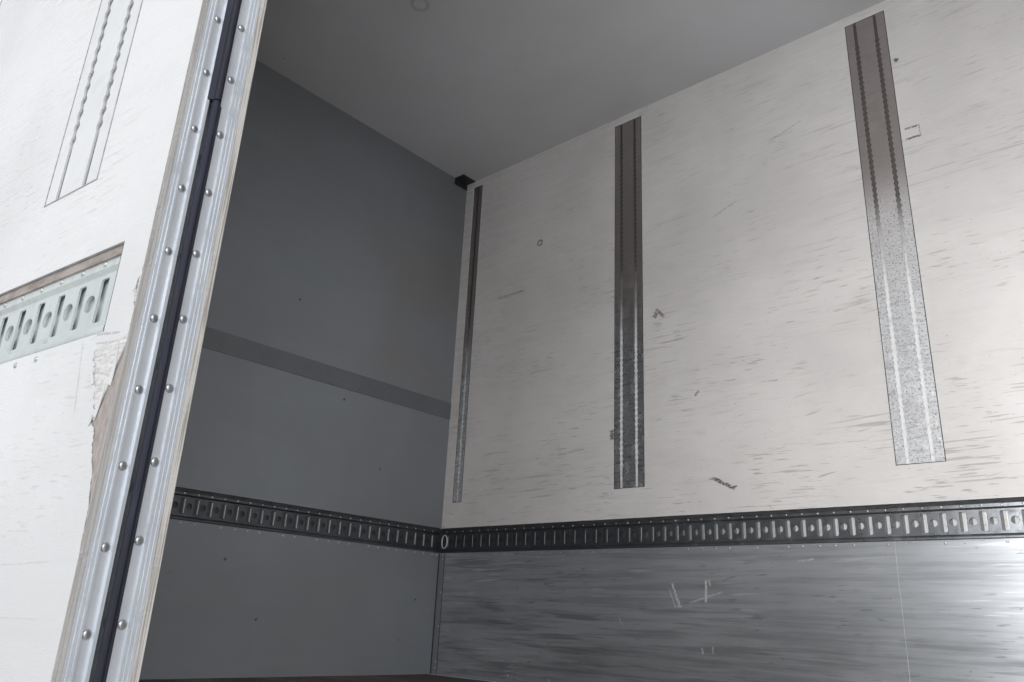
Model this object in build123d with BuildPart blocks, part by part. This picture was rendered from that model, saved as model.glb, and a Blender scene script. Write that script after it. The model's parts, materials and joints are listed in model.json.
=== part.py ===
"""Side-opening cargo box body of a rigid truck.

X runs to the rear, Y to the vehicle's right and Z up, in millimetres. The origin lies on the
centreline, in the plane under the two bearers and in the middle of the chassis bolt pattern.
The first side leaf stands open, folded forward over the fixed side section.
"""

import os

from build123d import *

# Load space, between linings, floor and ceiling
load_length = 7370.0
load_width = 2470.0
load_height = 2770.0

# Walls
side_thickness = 40.0
front_thickness = 50.0
roof_thickness = 50.0
roof_edge_radius = 40.0
roof_lip_width = 80.0
roof_lip_thickness = 12.0
post_edge_radius = 30.0
lining_thickness = 10.0

# Left side: a fixed section, two leaves, a pillar and two leaves
fixed_section = 2154.0
pillar_width = 100.0
pillar_depth = 70.0
pillar_taper = 20.0
door_gap = 14.0
leaf_clearance = 6.0
leaf_open_angle = 174.0
stile_width = 44.0

# End faces of the hinge edges: fine ribs beside the lining, then a channel
rib_depth = 2.0
rib_pitch = 5.0
channel_depth = 4.0
channel_lip = 4.0

# Continuous hinges of the side leaves; what repeats has flats in place of a full round
hinge_rod_diameter = 6.0
hinge_play = 0.6
knuckle_clearance = 1.5
knuckle_gap = 2.0
knuckle_side_count = 12

# Floor frame
bearer_height = 120.0
bearer_flange = 60.0
bearer_wall = 8.0
bearer_spacing = 860.0
cross_height = 100.0
cross_flange = 50.0
cross_wall = 5.0
cross_pitch = 370.0
deck_thickness = 28.0
sill_width = 60.0
sill_height = 148.0
sill_wall = 5.0
sill_bevel = 10.0

# Chassis fastening
bolt_spacing_x = 4800.0
bolt_diameter = 17.0

# Lashing rails
rail_bottom = 581.0
rail_recess_height = 126.0
rail_recess_depth = 22.0
rail_seat = 20.0
rail_plate_depth = 12.0
rail_flange_depth = 7.0
rail_bead = 6.0
rail_sheet = 3.0
slot_pitch = 59.0
slot_width = 20.0
slot_height = 63.0
slot_bottom = 26.0
leaf_rail_margin = 18.0

# Deck tracks, one groove at each side of their middle
track_above_rail = 130.0
track_head_room = 45.0
track_width = 160.0
track_depth = 20.0
track_pitch = 1182.0
first_track = 1171.0
groove_offset = 40.0
groove_width = 19.0
groove_depth = 12.0
corner_track_start = 69.0
corner_track_width = 66.0
leaf_track_inset = 267.0
leaf_track_clearance = 3.0

# Linings below the rail and the strip across the front wall
kick_thickness = 3.0
kick_seam = 2241.0
kick_seam_gap = 2.0
strip_bottom = 1295.0
strip_height = 91.0
strip_thickness = 3.0

# Rear frame and doors
rear_post_depth = 100.0
rear_post_width = 70.0
header_drop = 60.0
rear_seal_gap = 6.0
rear_overlap = 40.0
rear_edge_inset = 20.0
rear_axis_back = 20.0
rear_axis_out = 8.0
rear_hinge_count = 3
rear_hinge_height = 100.0
rear_hinge_plate = 10.0
rear_knuckle_radius = 12.0
rear_pin_diameter = 12.0
rear_strap_length = 150.0
rear_eye_side_count = 8
rear_bracket_inset = 33.0
rear_door_bevel = 7.0

# Lock gear
rod_diameter = 22.0
rod_standoff = 26.0
rod_edge_distance = 90.0
rear_rod_edge_distance = 120.0
rod_guides = 3
rod_play = 0.6
guide_length = 60.0
guide_width = 90.0
guide_wall = 3.0
handle_length = 320.0
handle_width = 33.0
handle_height = 1100.0
cam_length = 34.0
cam_reach = 26.0
cam_gap = 6.0
cam_face_gap = 12.0
keeper_wall = 5.0
keeper_play = 6.0

# Side marker lamps on the sills
lamp_length = 110.0
lamp_height = 36.0
lamp_depth = 12.0
lamp_bevel = 5.0
lamp_count = 4
lamp_end_distance = 600.0
lamp_above_sill = 22.0

# Derived planes
floor = bearer_height + cross_height + deck_thickness
ceiling = floor + load_height
roof_top = ceiling + roof_thickness
front = -load_length / 2
rear = load_length / 2
inner_side = load_width / 2
outer_side = inner_side + side_thickness
sill_bottom = floor - sill_height
fixed_end = front + fixed_section
rear_post_start = rear - rear_post_depth
bay_length = (load_length - fixed_section - pillar_width - rear_post_depth) / 2
pillar_start = fixed_end + bay_length
pillar_end = pillar_start + pillar_width
leaf_width = (bay_length - 3 * door_gap) / 2
leaf_bottom = floor + leaf_clearance
leaf_top = ceiling - leaf_clearance
rail_floor = floor + rail_bottom
track_bottom = rail_floor + rail_recess_height + track_above_rail
track_top = ceiling - track_head_room
leaf_bar_height = track_head_room - leaf_clearance - leaf_track_clearance
leaf_rail_inset = stile_width + leaf_rail_margin
hinge_axis_y = -outer_side - door_gap / 2
knuckle_radius = door_gap / 2 - knuckle_clearance
rear_door_bottom = floor - rear_overlap
rear_door_top = ceiling - header_drop + rear_overlap
rear_inner = rear + rear_seal_gap
rear_face = rear_inner + side_thickness
rear_axis_x = rear_face + rear_axis_back
rear_axis_y = outer_side + rear_axis_out

# Side leaves: name, place of the hinge axis, direction from the hinge to the free edge
leaves = (
    ("leaf_1", fixed_end + door_gap / 2, 1),
    ("leaf_2", pillar_start - door_gap / 2, -1),
    ("leaf_3", pillar_end + door_gap / 2, 1),
    ("leaf_4", rear_post_start - door_gap / 2, -1),
)
open_leaf = "leaf_1"

os.makedirs("parts", exist_ok=True)


def write(solid, name):
    """Write one finished sub-part under its own name."""
    solid.label = name
    export_step(solid, f"parts/{name}.step")


def block(x, y, z, mode=Mode.ADD):
    """A block between two planes in each direction."""
    with Locations(((x[0] + x[1]) / 2, (y[0] + y[1]) / 2, (z[0] + z[1]) / 2)):
        Box(abs(x[1] - x[0]), abs(y[1] - y[0]), abs(z[1] - z[0]), mode=mode)


def spread(count, first, last):
    """Evenly spaced places from first to last."""
    return [first + (last - first) * i / (count - 1) for i in range(count)]


# Floor frame

with BuildPart() as bearers:
    for side in (-1, 1):
        web = side * (bearer_spacing + bearer_flange) / 2
        inside = web - side * bearer_flange
        with BuildSketch(Plane.YZ.offset(front)):
            with BuildLine():
                Polyline(
                    (inside, 0),
                    (web, 0),
                    (web, bearer_height),
                    (inside, bearer_height),
                    (inside, bearer_height - bearer_wall),
                    (web - side * bearer_wall, bearer_height - bearer_wall),
                    (web - side * bearer_wall, bearer_wall),
                    (inside, bearer_wall),
                    close=True,
                )
            make_face()
        extrude(amount=load_length)
    with GridLocations(bolt_spacing_x, bearer_spacing, 2, 2):
        Cylinder(bolt_diameter / 2, 3 * bearer_wall, mode=Mode.SUBTRACT)
write(bearers.part, "bearers")

cross_count = int((load_length - rear_post_depth - 2 * cross_flange) / cross_pitch) + 1
cross_starts = spread(cross_count, front, rear_post_start - 2 * cross_flange)
cross_top = bearer_height + cross_height
cross_end = outer_side - sill_width

with BuildPart() as cross_members:
    for start in cross_starts:
        with BuildSketch(Plane.XZ.offset(-cross_end)):
            with BuildLine():
                Polyline(
                    (start, bearer_height),
                    (start + cross_flange, bearer_height),
                    (start + cross_flange, bearer_height + cross_wall),
                    (start + cross_wall, bearer_height + cross_wall),
                    (start + cross_wall, cross_top - cross_wall),
                    (start + cross_flange, cross_top - cross_wall),
                    (start + cross_flange, cross_top),
                    (start, cross_top),
                    close=True,
                )
            make_face()
        extrude(amount=2 * cross_end)
write(cross_members.part, "cross_members")

with BuildPart() as floor_deck:
    block((front, rear_post_start), (-cross_end, cross_end), (floor - deck_thickness, floor))
write(floor_deck.part, "floor_deck")


with BuildPart() as sills:
    for side in (-1, 1):
        outer = side * outer_side
        inner = side * (outer_side - sill_width)
        with BuildSketch(Plane.YZ.offset(front)):
            with BuildLine():
                Polyline(
                    (inner, sill_bottom),
                    (outer - side * sill_bevel, sill_bottom),
                    (outer, sill_bottom + sill_bevel),
                    (outer, floor),
                    (inner, floor),
                    close=True,
                )
            make_face()
            with BuildLine():
                Polyline(
                    (inner + side * sill_wall, sill_bottom + sill_wall),
                    (outer - side * (sill_wall + sill_bevel), sill_bottom + sill_wall),
                    (outer - side * sill_wall, sill_bottom + sill_wall + sill_bevel),
                    (outer - side * sill_wall, floor - sill_wall),
                    (inner + side * sill_wall, floor - sill_wall),
                    close=True,
                )
            make_face(mode=Mode.SUBTRACT)
        extrude(amount=load_length - rear_post_depth)
write(sills.part, "sills")


# Lashing rails and deck tracks


def lashing_rail(start, into_wall, along, length):
    """Lashing rail from start; its section is bent sheet and its plate carries the slots."""
    plane = Plane(origin=start, x_dir=into_wall, z_dir=along)
    plate, flange, bead = rail_plate_depth, rail_flange_depth, rail_bead
    fold = slot_bottom + slot_height + bead
    top = rail_recess_height - rail_sheet
    with BuildPart(plane) as piece:
        with BuildSketch(plane):
            with BuildLine():
                Polyline((rail_seat, 0), (rail_sheet, 0))
                ThreePointArc((rail_sheet, 0), (0, bead), (rail_sheet, 2 * bead))
                Polyline(
                    (rail_sheet, 2 * bead),
                    (plate, 3 * bead),
                    (plate, fold),
                    (flange, fold + bead),
                    (flange, top),
                    (rail_seat, top),
                    (rail_seat, top - rail_sheet),
                    (flange + rail_sheet, top - rail_sheet),
                    (flange + rail_sheet, fold + bead + rail_sheet / 2),
                    (plate + rail_sheet, fold + rail_sheet / 2),
                    (plate + rail_sheet, 3 * bead),
                    (plate, 2 * bead),
                    (rail_seat, 2 * bead),
                    (rail_seat, 0),
                )
            make_face()
        extrude(amount=length)
        count = int((length - slot_pitch) / slot_pitch) + 1
        first = (length - (count - 1) * slot_pitch) / 2
        across, up = plate + rail_sheet / 2, slot_bottom + slot_height / 2
        with Locations(*[(across, up, first + i * slot_pitch) for i in range(count)]):
            Box(3 * rail_sheet, slot_height, slot_width, mode=Mode.SUBTRACT)
    return piece.part


def side_rail(side, start, end):
    """Lashing rail of a side wall between two places along X."""
    first = start if side > 0 else end
    return lashing_rail(
        (first, side * inner_side, rail_floor), (0, side, 0), (side, 0, 0), end - start
    )


def track_section(middle, width, depth_sign, inner, grooves):
    """Section of a deck track: a flat face with one groove or two."""
    with BuildSketch(Plane.XY.offset(track_bottom)) as section:
        with Locations((middle, inner + depth_sign * track_depth / 2)):
            Rectangle(width, track_depth)
        for place in grooves:
            with Locations((middle + place, inner + depth_sign * groove_depth / 2)):
                Rectangle(groove_width, groove_depth, mode=Mode.SUBTRACT)
    return section.sketch


def side_tracks(side, tracks):
    """Deck tracks of one wall; tracks holds the middle, width and grooves of each."""
    with BuildPart() as piece:
        for middle, width, grooves in tracks:
            add(track_section(middle, width, side, side * inner_side, grooves))
            extrude(amount=track_top - track_bottom)
    return piece.part


wide_grooves = (-groove_offset, groove_offset)
corner_track = (front + corner_track_start + corner_track_width / 2, corner_track_width, (0,))
right_track_count = int((rear_post_start - front - first_track) / track_pitch) + 1
right_tracks = [corner_track] + [
    (front + first_track + i * track_pitch, track_width, wide_grooves)
    for i in range(right_track_count)
]
fixed_tracks = [corner_track, (front + first_track, track_width, wide_grooves)]


def wall_recesses(side, tracks, rail_ends):
    """Cut the seats of the rail and the tracks into a side wall or leaf."""
    inner = side * inner_side
    block(
        rail_ends,
        (inner, inner + side * rail_recess_depth),
        (rail_floor, rail_floor + rail_recess_height),
        mode=Mode.SUBTRACT,
    )
    for middle, width, _ in tracks:
        block(
            (middle - width / 2, middle + width / 2),
            (inner, inner + side * track_depth),
            (track_bottom, track_top),
            mode=Mode.SUBTRACT,
        )


# Right wall

with BuildPart() as right_wall:
    block((front, rear_post_start), (inner_side, outer_side), (floor, ceiling))
    wall_recesses(1, right_tracks, (front, rear_post_start))
    block(
        (front, rear_post_start),
        (inner_side, inner_side + kick_thickness),
        (floor, rail_floor),
        mode=Mode.SUBTRACT,
    )
write(right_wall.part, "right_wall")
write(side_rail(1, front, rear_post_start), "right_lashing_rail")
write(side_tracks(1, right_tracks), "right_deck_tracks")

kick_edges = [front]
while kick_edges[-1] + kick_seam < rear_post_start:
    kick_edges.append(kick_edges[-1] + kick_seam)
kick_edges.append(rear_post_start)

with BuildPart() as right_kick_plates:
    for start, end in zip(kick_edges, kick_edges[1:]):
        stop = end - kick_seam_gap if end < rear_post_start else end
        block((start, stop), (inner_side, inner_side + kick_thickness), (floor, rail_floor))
write(right_kick_plates.part, "right_kick_plates")


# Front wall, its strip, rail and corner posts

with BuildPart() as front_wall:
    block((front - front_thickness, front), (-inner_side, inner_side), (sill_bottom, ceiling))
    block(
        (front - rail_recess_depth, front),
        (-inner_side, inner_side),
        (rail_floor, rail_floor + rail_recess_height),
        mode=Mode.SUBTRACT,
    )
write(front_wall.part, "front_wall")

front_lashing_rail = lashing_rail(
    (front, -inner_side, rail_floor), (-1, 0, 0), (0, 1, 0), load_width
)
write(front_lashing_rail, "front_lashing_rail")

with BuildPart() as front_strip:
    block(
        (front, front + strip_thickness),
        (-inner_side, inner_side),
        (floor + strip_bottom, floor + strip_bottom + strip_height),
    )
write(front_strip.part, "front_strip")


def front_corner_post(side):
    """Corner post with a rounded outer edge."""
    with BuildPart() as piece:
        block(
            (front - front_thickness, front),
            (side * inner_side, side * outer_side),
            (sill_bottom, ceiling),
        )
        outer_edges = piece.edges().filter_by(Axis.Z).group_by(Axis.X)[0]
        fillet(outer_edges.sort_by(Axis.Y)[-1 if side > 0 else 0], post_edge_radius)
    return piece.part


with BuildPart() as front_corner_posts:
    add(front_corner_post(-1))
    add(front_corner_post(1))
write(front_corner_posts.part, "front_corner_posts")


# Roof

lip_end = outer_side - roof_lip_width
lip_bottom = roof_top - roof_lip_thickness

with BuildPart() as roof_panel:
    block((front, rear_post_start), (-inner_side, inner_side), (ceiling, lip_bottom))
    block((front, rear_post_start), (-lip_end, lip_end), (lip_bottom, roof_top))
write(roof_panel.part, "roof_panel")


def roof_rail(side):
    """Side roof rail: it closes the wall's top, and its lip lies over the roof's edge."""
    with BuildPart() as piece:
        block((front, rear_post_start), (side * inner_side, side * outer_side), (ceiling, roof_top))
        block((front, rear_post_start), (side * lip_end, side * outer_side), (lip_bottom, roof_top))
        top_edges = piece.edges().filter_by(Axis.X).group_by(Axis.Z)[-1]
        fillet(top_edges.sort_by(Axis.Y)[-1 if side > 0 else 0], roof_edge_radius)
    return piece.part


with BuildPart() as roof_rails:
    add(roof_rail(-1))
    add(roof_rail(1))
write(roof_rails.part, "roof_rails")

with BuildPart() as roof_front_rail:
    block((front - front_thickness, front), (-outer_side, outer_side), (ceiling, roof_top))
    fillet(roof_front_rail.edges().filter_by(Axis.Z).group_by(Axis.X)[0], post_edge_radius)
write(roof_front_rail.part, "roof_front_rail")


# Continuous side hinges: a moving knuckle between two fixed ones on one rod

knuckle_length = (leaf_top - leaf_bottom - 2 * knuckle_gap) / 3
moving_bottom = leaf_bottom + knuckle_length + knuckle_gap


def knuckle(axis_x, toward, base, bore):
    """One long knuckle round a hinge axis, with a web to the edge that carries it."""
    edge = axis_x + toward * door_gap / 2
    with BuildSketch(Plane.XY.offset(base)) as section:
        with Locations((axis_x, hinge_axis_y)):
            RegularPolygon(knuckle_radius, knuckle_side_count)
        with BuildLine():
            Polyline(
                (axis_x, hinge_axis_y - knuckle_radius / 2),
                (edge + toward * door_gap, -outer_side),
                (edge, -outer_side),
                (edge, -outer_side + channel_lip),
                (axis_x - toward * knuckle_radius / 2, hinge_axis_y),
                close=True,
            )
        make_face()
        if bore:
            with Locations((axis_x, hinge_axis_y)):
                Circle((hinge_rod_diameter + hinge_play) / 2, mode=Mode.SUBTRACT)
    add(extrude(section.sketch, amount=knuckle_length, mode=Mode.PRIVATE))


def fixed_hinge(axis_x, toward):
    """Fixed knuckles of a side hinge, joined by the rod between them."""
    knuckle(axis_x, toward, leaf_bottom, bore=False)
    knuckle(axis_x, toward, leaf_top - knuckle_length, bore=False)
    with Locations((axis_x, hinge_axis_y, (leaf_bottom + leaf_top) / 2)):
        Cylinder(hinge_rod_diameter / 2, knuckle_length + 2 * knuckle_gap)


def edge_profile(edge, toward, width, bottom, top):
    """Hinge edge of a wall or leaf: ribbed end face behind the lining, toward the gap."""
    inner = -inner_side - lining_thickness
    end = edge - toward * rib_depth
    back = edge - toward * width
    with BuildSketch(Plane.XY.offset(bottom)) as section:
        with BuildLine():
            Polyline(
                (back, inner),
                (edge, inner),
                (edge, inner - rib_pitch / 2),
                (end, inner - rib_pitch / 2),
                (end, inner - rib_pitch),
                (edge, inner - rib_pitch),
                (edge, inner - 1.5 * rib_pitch),
                (end, inner - 1.5 * rib_pitch),
                (end, inner - 2 * rib_pitch),
                (edge, inner - 2 * rib_pitch),
                (edge, inner - 2.5 * rib_pitch),
                (edge - toward * channel_depth, inner - 2.5 * rib_pitch),
                (edge - toward * channel_depth, -outer_side + channel_lip),
                (edge, -outer_side + channel_lip),
                (edge, -outer_side),
                (back, -outer_side),
                close=True,
            )
        make_face()
    return extrude(section.sketch, amount=top - bottom, mode=Mode.PRIVATE)


# Fixed side section and its hinge edge

with BuildPart() as left_fixed_panel:
    core = (front, fixed_end - stile_width)
    block(core, (-outer_side, -inner_side), (floor, ceiling))
    block(
        (front, fixed_end), (-inner_side - lining_thickness, -inner_side), (floor, ceiling)
    )
    rail_span = (front, fixed_end - leaf_rail_inset)
    wall_recesses(-1, fixed_tracks, rail_span)
write(left_fixed_panel.part, "left_fixed_panel")

with BuildPart() as left_load_rails:
    add(side_rail(-1, *rail_span))
    add(side_tracks(-1, fixed_tracks))
write(left_load_rails.part, "left_load_rails")

with BuildPart() as left_hinge_edge:
    add(edge_profile(fixed_end, 1, stile_width, floor, ceiling))
write(left_hinge_edge.part, "left_hinge_edge")

with BuildPart() as side_hinges:
    for _, hinge_axis_x, to_leaf in leaves:
        fixed_hinge(hinge_axis_x, -to_leaf)
write(side_hinges.part, "side_hinges")


# Pillar and rear frame

with BuildPart() as side_pillar:
    with BuildSketch(Plane.XY.offset(floor)):
        with BuildLine():
            Polyline(
                (pillar_start, -outer_side),
                (pillar_end, -outer_side),
                (pillar_end, -inner_side),
                (pillar_end - pillar_taper, -outer_side + pillar_depth),
                (pillar_start + pillar_taper, -outer_side + pillar_depth),
                (pillar_start, -inner_side),
                close=True,
            )
        make_face()
    extrude(amount=load_height)
write(side_pillar.part, "side_pillar")


def rear_post(side):
    """Rear corner post."""
    with BuildPart() as piece:
        block(
            (rear_post_start, rear),
            (side * (outer_side - rear_post_width), side * outer_side),
            (sill_bottom, roof_top),
        )
    return piece.part


write(rear_post(-1), "rear_post_left")
write(rear_post(1), "rear_post_right")

rear_opening = outer_side - rear_post_width

with BuildPart() as rear_header:
    block((rear_post_start, rear), (-rear_opening, rear_opening), (ceiling - header_drop, roof_top))
write(rear_header.part, "rear_header")

with BuildPart() as rear_sill:
    block((rear_post_start, rear), (-rear_opening, rear_opening), (bearer_height, floor))
write(rear_sill.part, "rear_sill")


# Lock gear: a rod in guides with a cam at each end and a flat handle. It is drawn before a face
# that looks along -Y; a quarter turn about this axis makes that of the rear doors.
quarter_turn = Axis((0, 0, 0), (0, 0, 1))


def lock_gear(axis, rod_bottom, rod_top, face, toward_handle):
    """Upright lock rod in front of a face that looks along -Y, at axis along X."""
    rod_y = face - rod_standoff
    rod_front = rod_y - rod_diameter / 2
    window = (rod_diameter + rod_play) / 2
    guide_front = rod_y - window - guide_wall
    handle_bottom = floor + handle_height
    with BuildPart() as rod:
        with BuildSketch(Plane.XY.offset(rod_bottom)):
            with Locations((axis, rod_y)):
                Circle(rod_diameter / 2)
        extrude(amount=rod_top - rod_bottom)
        for end in (rod_bottom, rod_top - cam_length):
            block(
                (axis - cam_reach, axis + cam_reach),
                (rod_front, face - cam_face_gap),
                (end, end + cam_length),
            )
        block(
            (axis, axis + toward_handle * handle_length),
            (rod_front, rod_y),
            (handle_bottom, handle_bottom + handle_width),
        )
    guide_places = spread(rod_guides, rod_bottom + 4 * guide_length, rod_top - 4 * guide_length)
    with BuildPart() as piece:
        add(rod.part)
        for place in guide_places:
            with BuildSketch(Plane.XY.offset(place - guide_length / 2)) as section:
                with BuildLine():
                    Polyline(
                        (axis - guide_width / 2, face),
                        (axis + guide_width / 2, face),
                        (axis + guide_width / 2, face - 2 * guide_wall),
                        (axis + window + 2 * guide_wall, guide_front),
                        (axis - window - 2 * guide_wall, guide_front),
                        (axis - guide_width / 2, face - 2 * guide_wall),
                        close=True,
                    )
                make_face()
                with Locations((axis, rod_y)):
                    Rectangle(2 * window, 2 * window, mode=Mode.SUBTRACT)
            add(extrude(section.sketch, amount=guide_length, mode=Mode.PRIVATE))
    return piece.part


def keeper(axis, base, back, face):
    """Keeper of one cam: a back plate between a seat and a face, with a cheek at each side."""
    reach = cam_reach + keeper_play + keeper_wall
    front_edge = face - rod_standoff
    with BuildSketch(Plane.XY.offset(base)) as section:
        with BuildLine():
            Polyline(
                (axis - reach, back),
                (axis + reach, back),
                (axis + reach, front_edge),
                (axis + reach - keeper_wall, front_edge),
                (axis + reach - keeper_wall, face - keeper_wall),
                (axis - reach + keeper_wall, face - keeper_wall),
                (axis - reach + keeper_wall, front_edge),
                (axis - reach, front_edge),
                close=True,
            )
        make_face()
    return extrude(section.sketch, amount=cam_length, mode=Mode.PRIVATE)


def cam_places(bottom, top):
    """Lower planes of the two cams of a rod that locks a door between bottom and top."""
    return bottom - cam_gap - cam_length, top + cam_gap


with BuildPart() as rear_keepers:
    for side in (-1, 1):
        for base in cam_places(rear_door_bottom, rear_door_top):
            add(keeper(side * rear_rod_edge_distance, base, -rear, -rear_face))

with BuildPart() as lock_keepers:
    for _, hinge_axis_x, to_leaf in leaves:
        rod_axis = hinge_axis_x + to_leaf * (door_gap / 2 + leaf_width - rod_edge_distance)
        for base in cam_places(leaf_bottom, leaf_top):
            add(keeper(rod_axis, base, -outer_side, -outer_side))
    add(rear_keepers.part.rotate(quarter_turn, 90))
write(lock_keepers.part, "lock_keepers")


def marker_lamp(place, side):
    """Side marker lamp with a bevelled lens, at a place along a sill."""
    base = sill_bottom + lamp_above_sill
    with BuildPart() as piece:
        block(
            (place - lamp_length / 2, place + lamp_length / 2),
            (side * outer_side, side * (outer_side + lamp_depth)),
            (base, base + lamp_height),
        )
        chamfer(piece.faces().sort_by(Axis.Y)[-1 if side > 0 else 0].edges(), lamp_bevel)
    return piece.part


with BuildPart() as marker_lamps:
    for side in (-1, 1):
        for place in spread(lamp_count, front + lamp_end_distance, rear - lamp_end_distance):
            add(marker_lamp(place, side))
write(marker_lamps.part, "marker_lamps")


# Side leaves


def leaf_pieces(name, axis_x, toward):
    """Panel, edge frame, load rails and lock gear of one side leaf, in its closed place."""
    hinge_edge = axis_x + toward * door_gap / 2
    free_edge = hinge_edge + toward * leaf_width
    lining = (-inner_side - lining_thickness, -inner_side)
    tracks = [
        (edge + sign * toward * leaf_track_inset, track_width, wide_grooves)
        for edge, sign in ((hinge_edge, 1), (free_edge, -1))
    ]
    rail_ends = sorted(
        (hinge_edge + toward * leaf_rail_inset, free_edge - toward * leaf_rail_inset)
    )
    with BuildPart() as panel:
        block(
            (hinge_edge + toward * stile_width, free_edge - toward * stile_width),
            (-outer_side, -inner_side),
            (leaf_bottom + leaf_bar_height, leaf_top - leaf_bar_height),
        )
        block((hinge_edge, free_edge), lining, (leaf_bottom, leaf_top))
        wall_recesses(-1, tracks, rail_ends)
    with BuildPart() as frame:
        add(edge_profile(hinge_edge, -toward, stile_width, leaf_bottom, leaf_top))
        add(edge_profile(free_edge, toward, stile_width, leaf_bottom, leaf_top))
        for base in (leaf_bottom, leaf_top - leaf_bar_height):
            block(
                (hinge_edge + toward * stile_width, free_edge - toward * stile_width),
                (-outer_side, -inner_side - lining_thickness),
                (base, base + leaf_bar_height),
            )
    with BuildPart() as moving_knuckle:
        knuckle(axis_x, toward, moving_bottom, bore=True)
    with BuildPart() as load_rails:
        add(side_rail(-1, *rail_ends))
        add(side_tracks(-1, tracks))
    rod_axis = free_edge - toward * rod_edge_distance
    lock = lock_gear(
        rod_axis,
        leaf_bottom - cam_gap - cam_length,
        leaf_top + cam_gap + cam_length,
        -outer_side,
        -toward,
    )
    return {
        f"{name}_panel": panel.part,
        f"{name}_frame": frame.part,
        f"{name}_load_rails": load_rails.part,
        f"{name}_lock_gear": lock,
        f"{name}_knuckle": moving_knuckle.part,
    }


for leaf_name, leaf_axis, leaf_toward in leaves:
    hinge_line = Axis((leaf_axis, hinge_axis_y, 0), (0, 0, 1))
    angle = -leaf_toward * leaf_open_angle if leaf_name == open_leaf else 0
    for piece_name, solid in leaf_pieces(leaf_name, leaf_axis, leaf_toward).items():
        write(solid.rotate(hinge_line, angle) if angle else solid, piece_name)


# Rear doors and their hinges

rear_hinge_places = spread(
    rear_hinge_count,
    rear_door_bottom + 2 * rear_hinge_height,
    rear_door_top - 2 * rear_hinge_height,
)
arm_height = rear_hinge_height / 4


def rear_hinge_bracket(side, place):
    """Post bracket of a rear hinge: a plate, two arms with bevelled eyes and the pin."""
    plate = (side * outer_side, side * (outer_side + rear_hinge_plate))
    base = place - rear_hinge_height / 2
    centre = (rear_axis_x, side * rear_axis_y)
    with BuildPart() as piece:
        block((rear_post_start + rear_bracket_inset, rear), plate, (base, base + rear_hinge_height))
        for arm in (base, base + rear_hinge_height - arm_height):
            with BuildSketch(Plane.XY.offset(arm)):
                with Locations(centre):
                    RegularPolygon(rear_knuckle_radius, rear_eye_side_count)
                with Locations(((rear + rear_axis_x) / 2, (plate[0] + plate[1]) / 2)):
                    Rectangle(rear_axis_x - rear, rear_hinge_plate)
            extrude(amount=arm_height)
        with Locations((*centre, place)):
            Cylinder(rear_pin_diameter / 2, rear_hinge_height - 2 * arm_height)
    return piece.part


with BuildPart() as rear_hinge_brackets:
    for side in (-1, 1):
        for place in rear_hinge_places:
            add(rear_hinge_bracket(side, place))
write(rear_hinge_brackets.part, "rear_hinge_brackets")


def rear_door(side):
    """Rear door panel with a chamfered outer rim."""
    with BuildPart() as piece:
        block(
            (rear_inner, rear_face),
            (side * door_gap / 2, side * (outer_side - rear_edge_inset)),
            (rear_door_bottom, rear_door_top),
        )
        chamfer(piece.faces().sort_by(Axis.X)[-1].edges(), rear_door_bevel)
    return piece.part


def rear_door_straps(side):
    """Strap hinges of a rear door, each with its knuckle between the bracket's arms."""
    strap_height = rear_hinge_height - 2 * arm_height - 2 * knuckle_gap
    strap_root = (rear_knuckle_radius + rear_pin_diameter / 2) / 2
    with BuildPart() as piece:
        for place in rear_hinge_places:
            with BuildSketch(Plane.XY.offset(place - strap_height / 2)):
                with Locations((rear_axis_x, side * rear_axis_y)):
                    RegularPolygon(rear_knuckle_radius, rear_eye_side_count)
                with BuildLine():
                    Polyline(
                        (rear_face, side * (rear_axis_y - rear_strap_length)),
                        (rear_face + rear_hinge_plate, side * (rear_axis_y - rear_strap_length)),
                        (rear_axis_x, side * (rear_axis_y - strap_root)),
                        (rear_axis_x - strap_root, side * rear_axis_y),
                        (rear_face, side * (outer_side - rear_edge_inset)),
                        close=True,
                    )
                make_face()
                with Locations((rear_axis_x, side * rear_axis_y)):
                    Circle((rear_pin_diameter + hinge_play) / 2, mode=Mode.SUBTRACT)
            extrude(amount=strap_height)
    return piece.part


for door_name, side in (("rear_door_left", -1), ("rear_door_right", 1)):
    write(rear_door(side), f"{door_name}_panel")
    gear = lock_gear(
        side * rear_rod_edge_distance,
        rear_door_bottom - cam_gap - cam_length,
        rear_door_top + cam_gap + cam_length,
        -rear_face,
        side,
    )
    with BuildPart() as fittings:
        add(rear_door_straps(side))
        add(gear.rotate(quarter_turn, 90))
    write(fittings.part, f"{door_name}_fittings")
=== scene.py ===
"""Looks of the side-opening cargo box body: finishes, rails, tracks, seals, fasteners and wear."""

import json
import math
import random
from collections import namedtuple

import bmesh
import bpy
from mathutils import Matrix, Vector
from mathutils.geometry import tessellate_polygon


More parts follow.
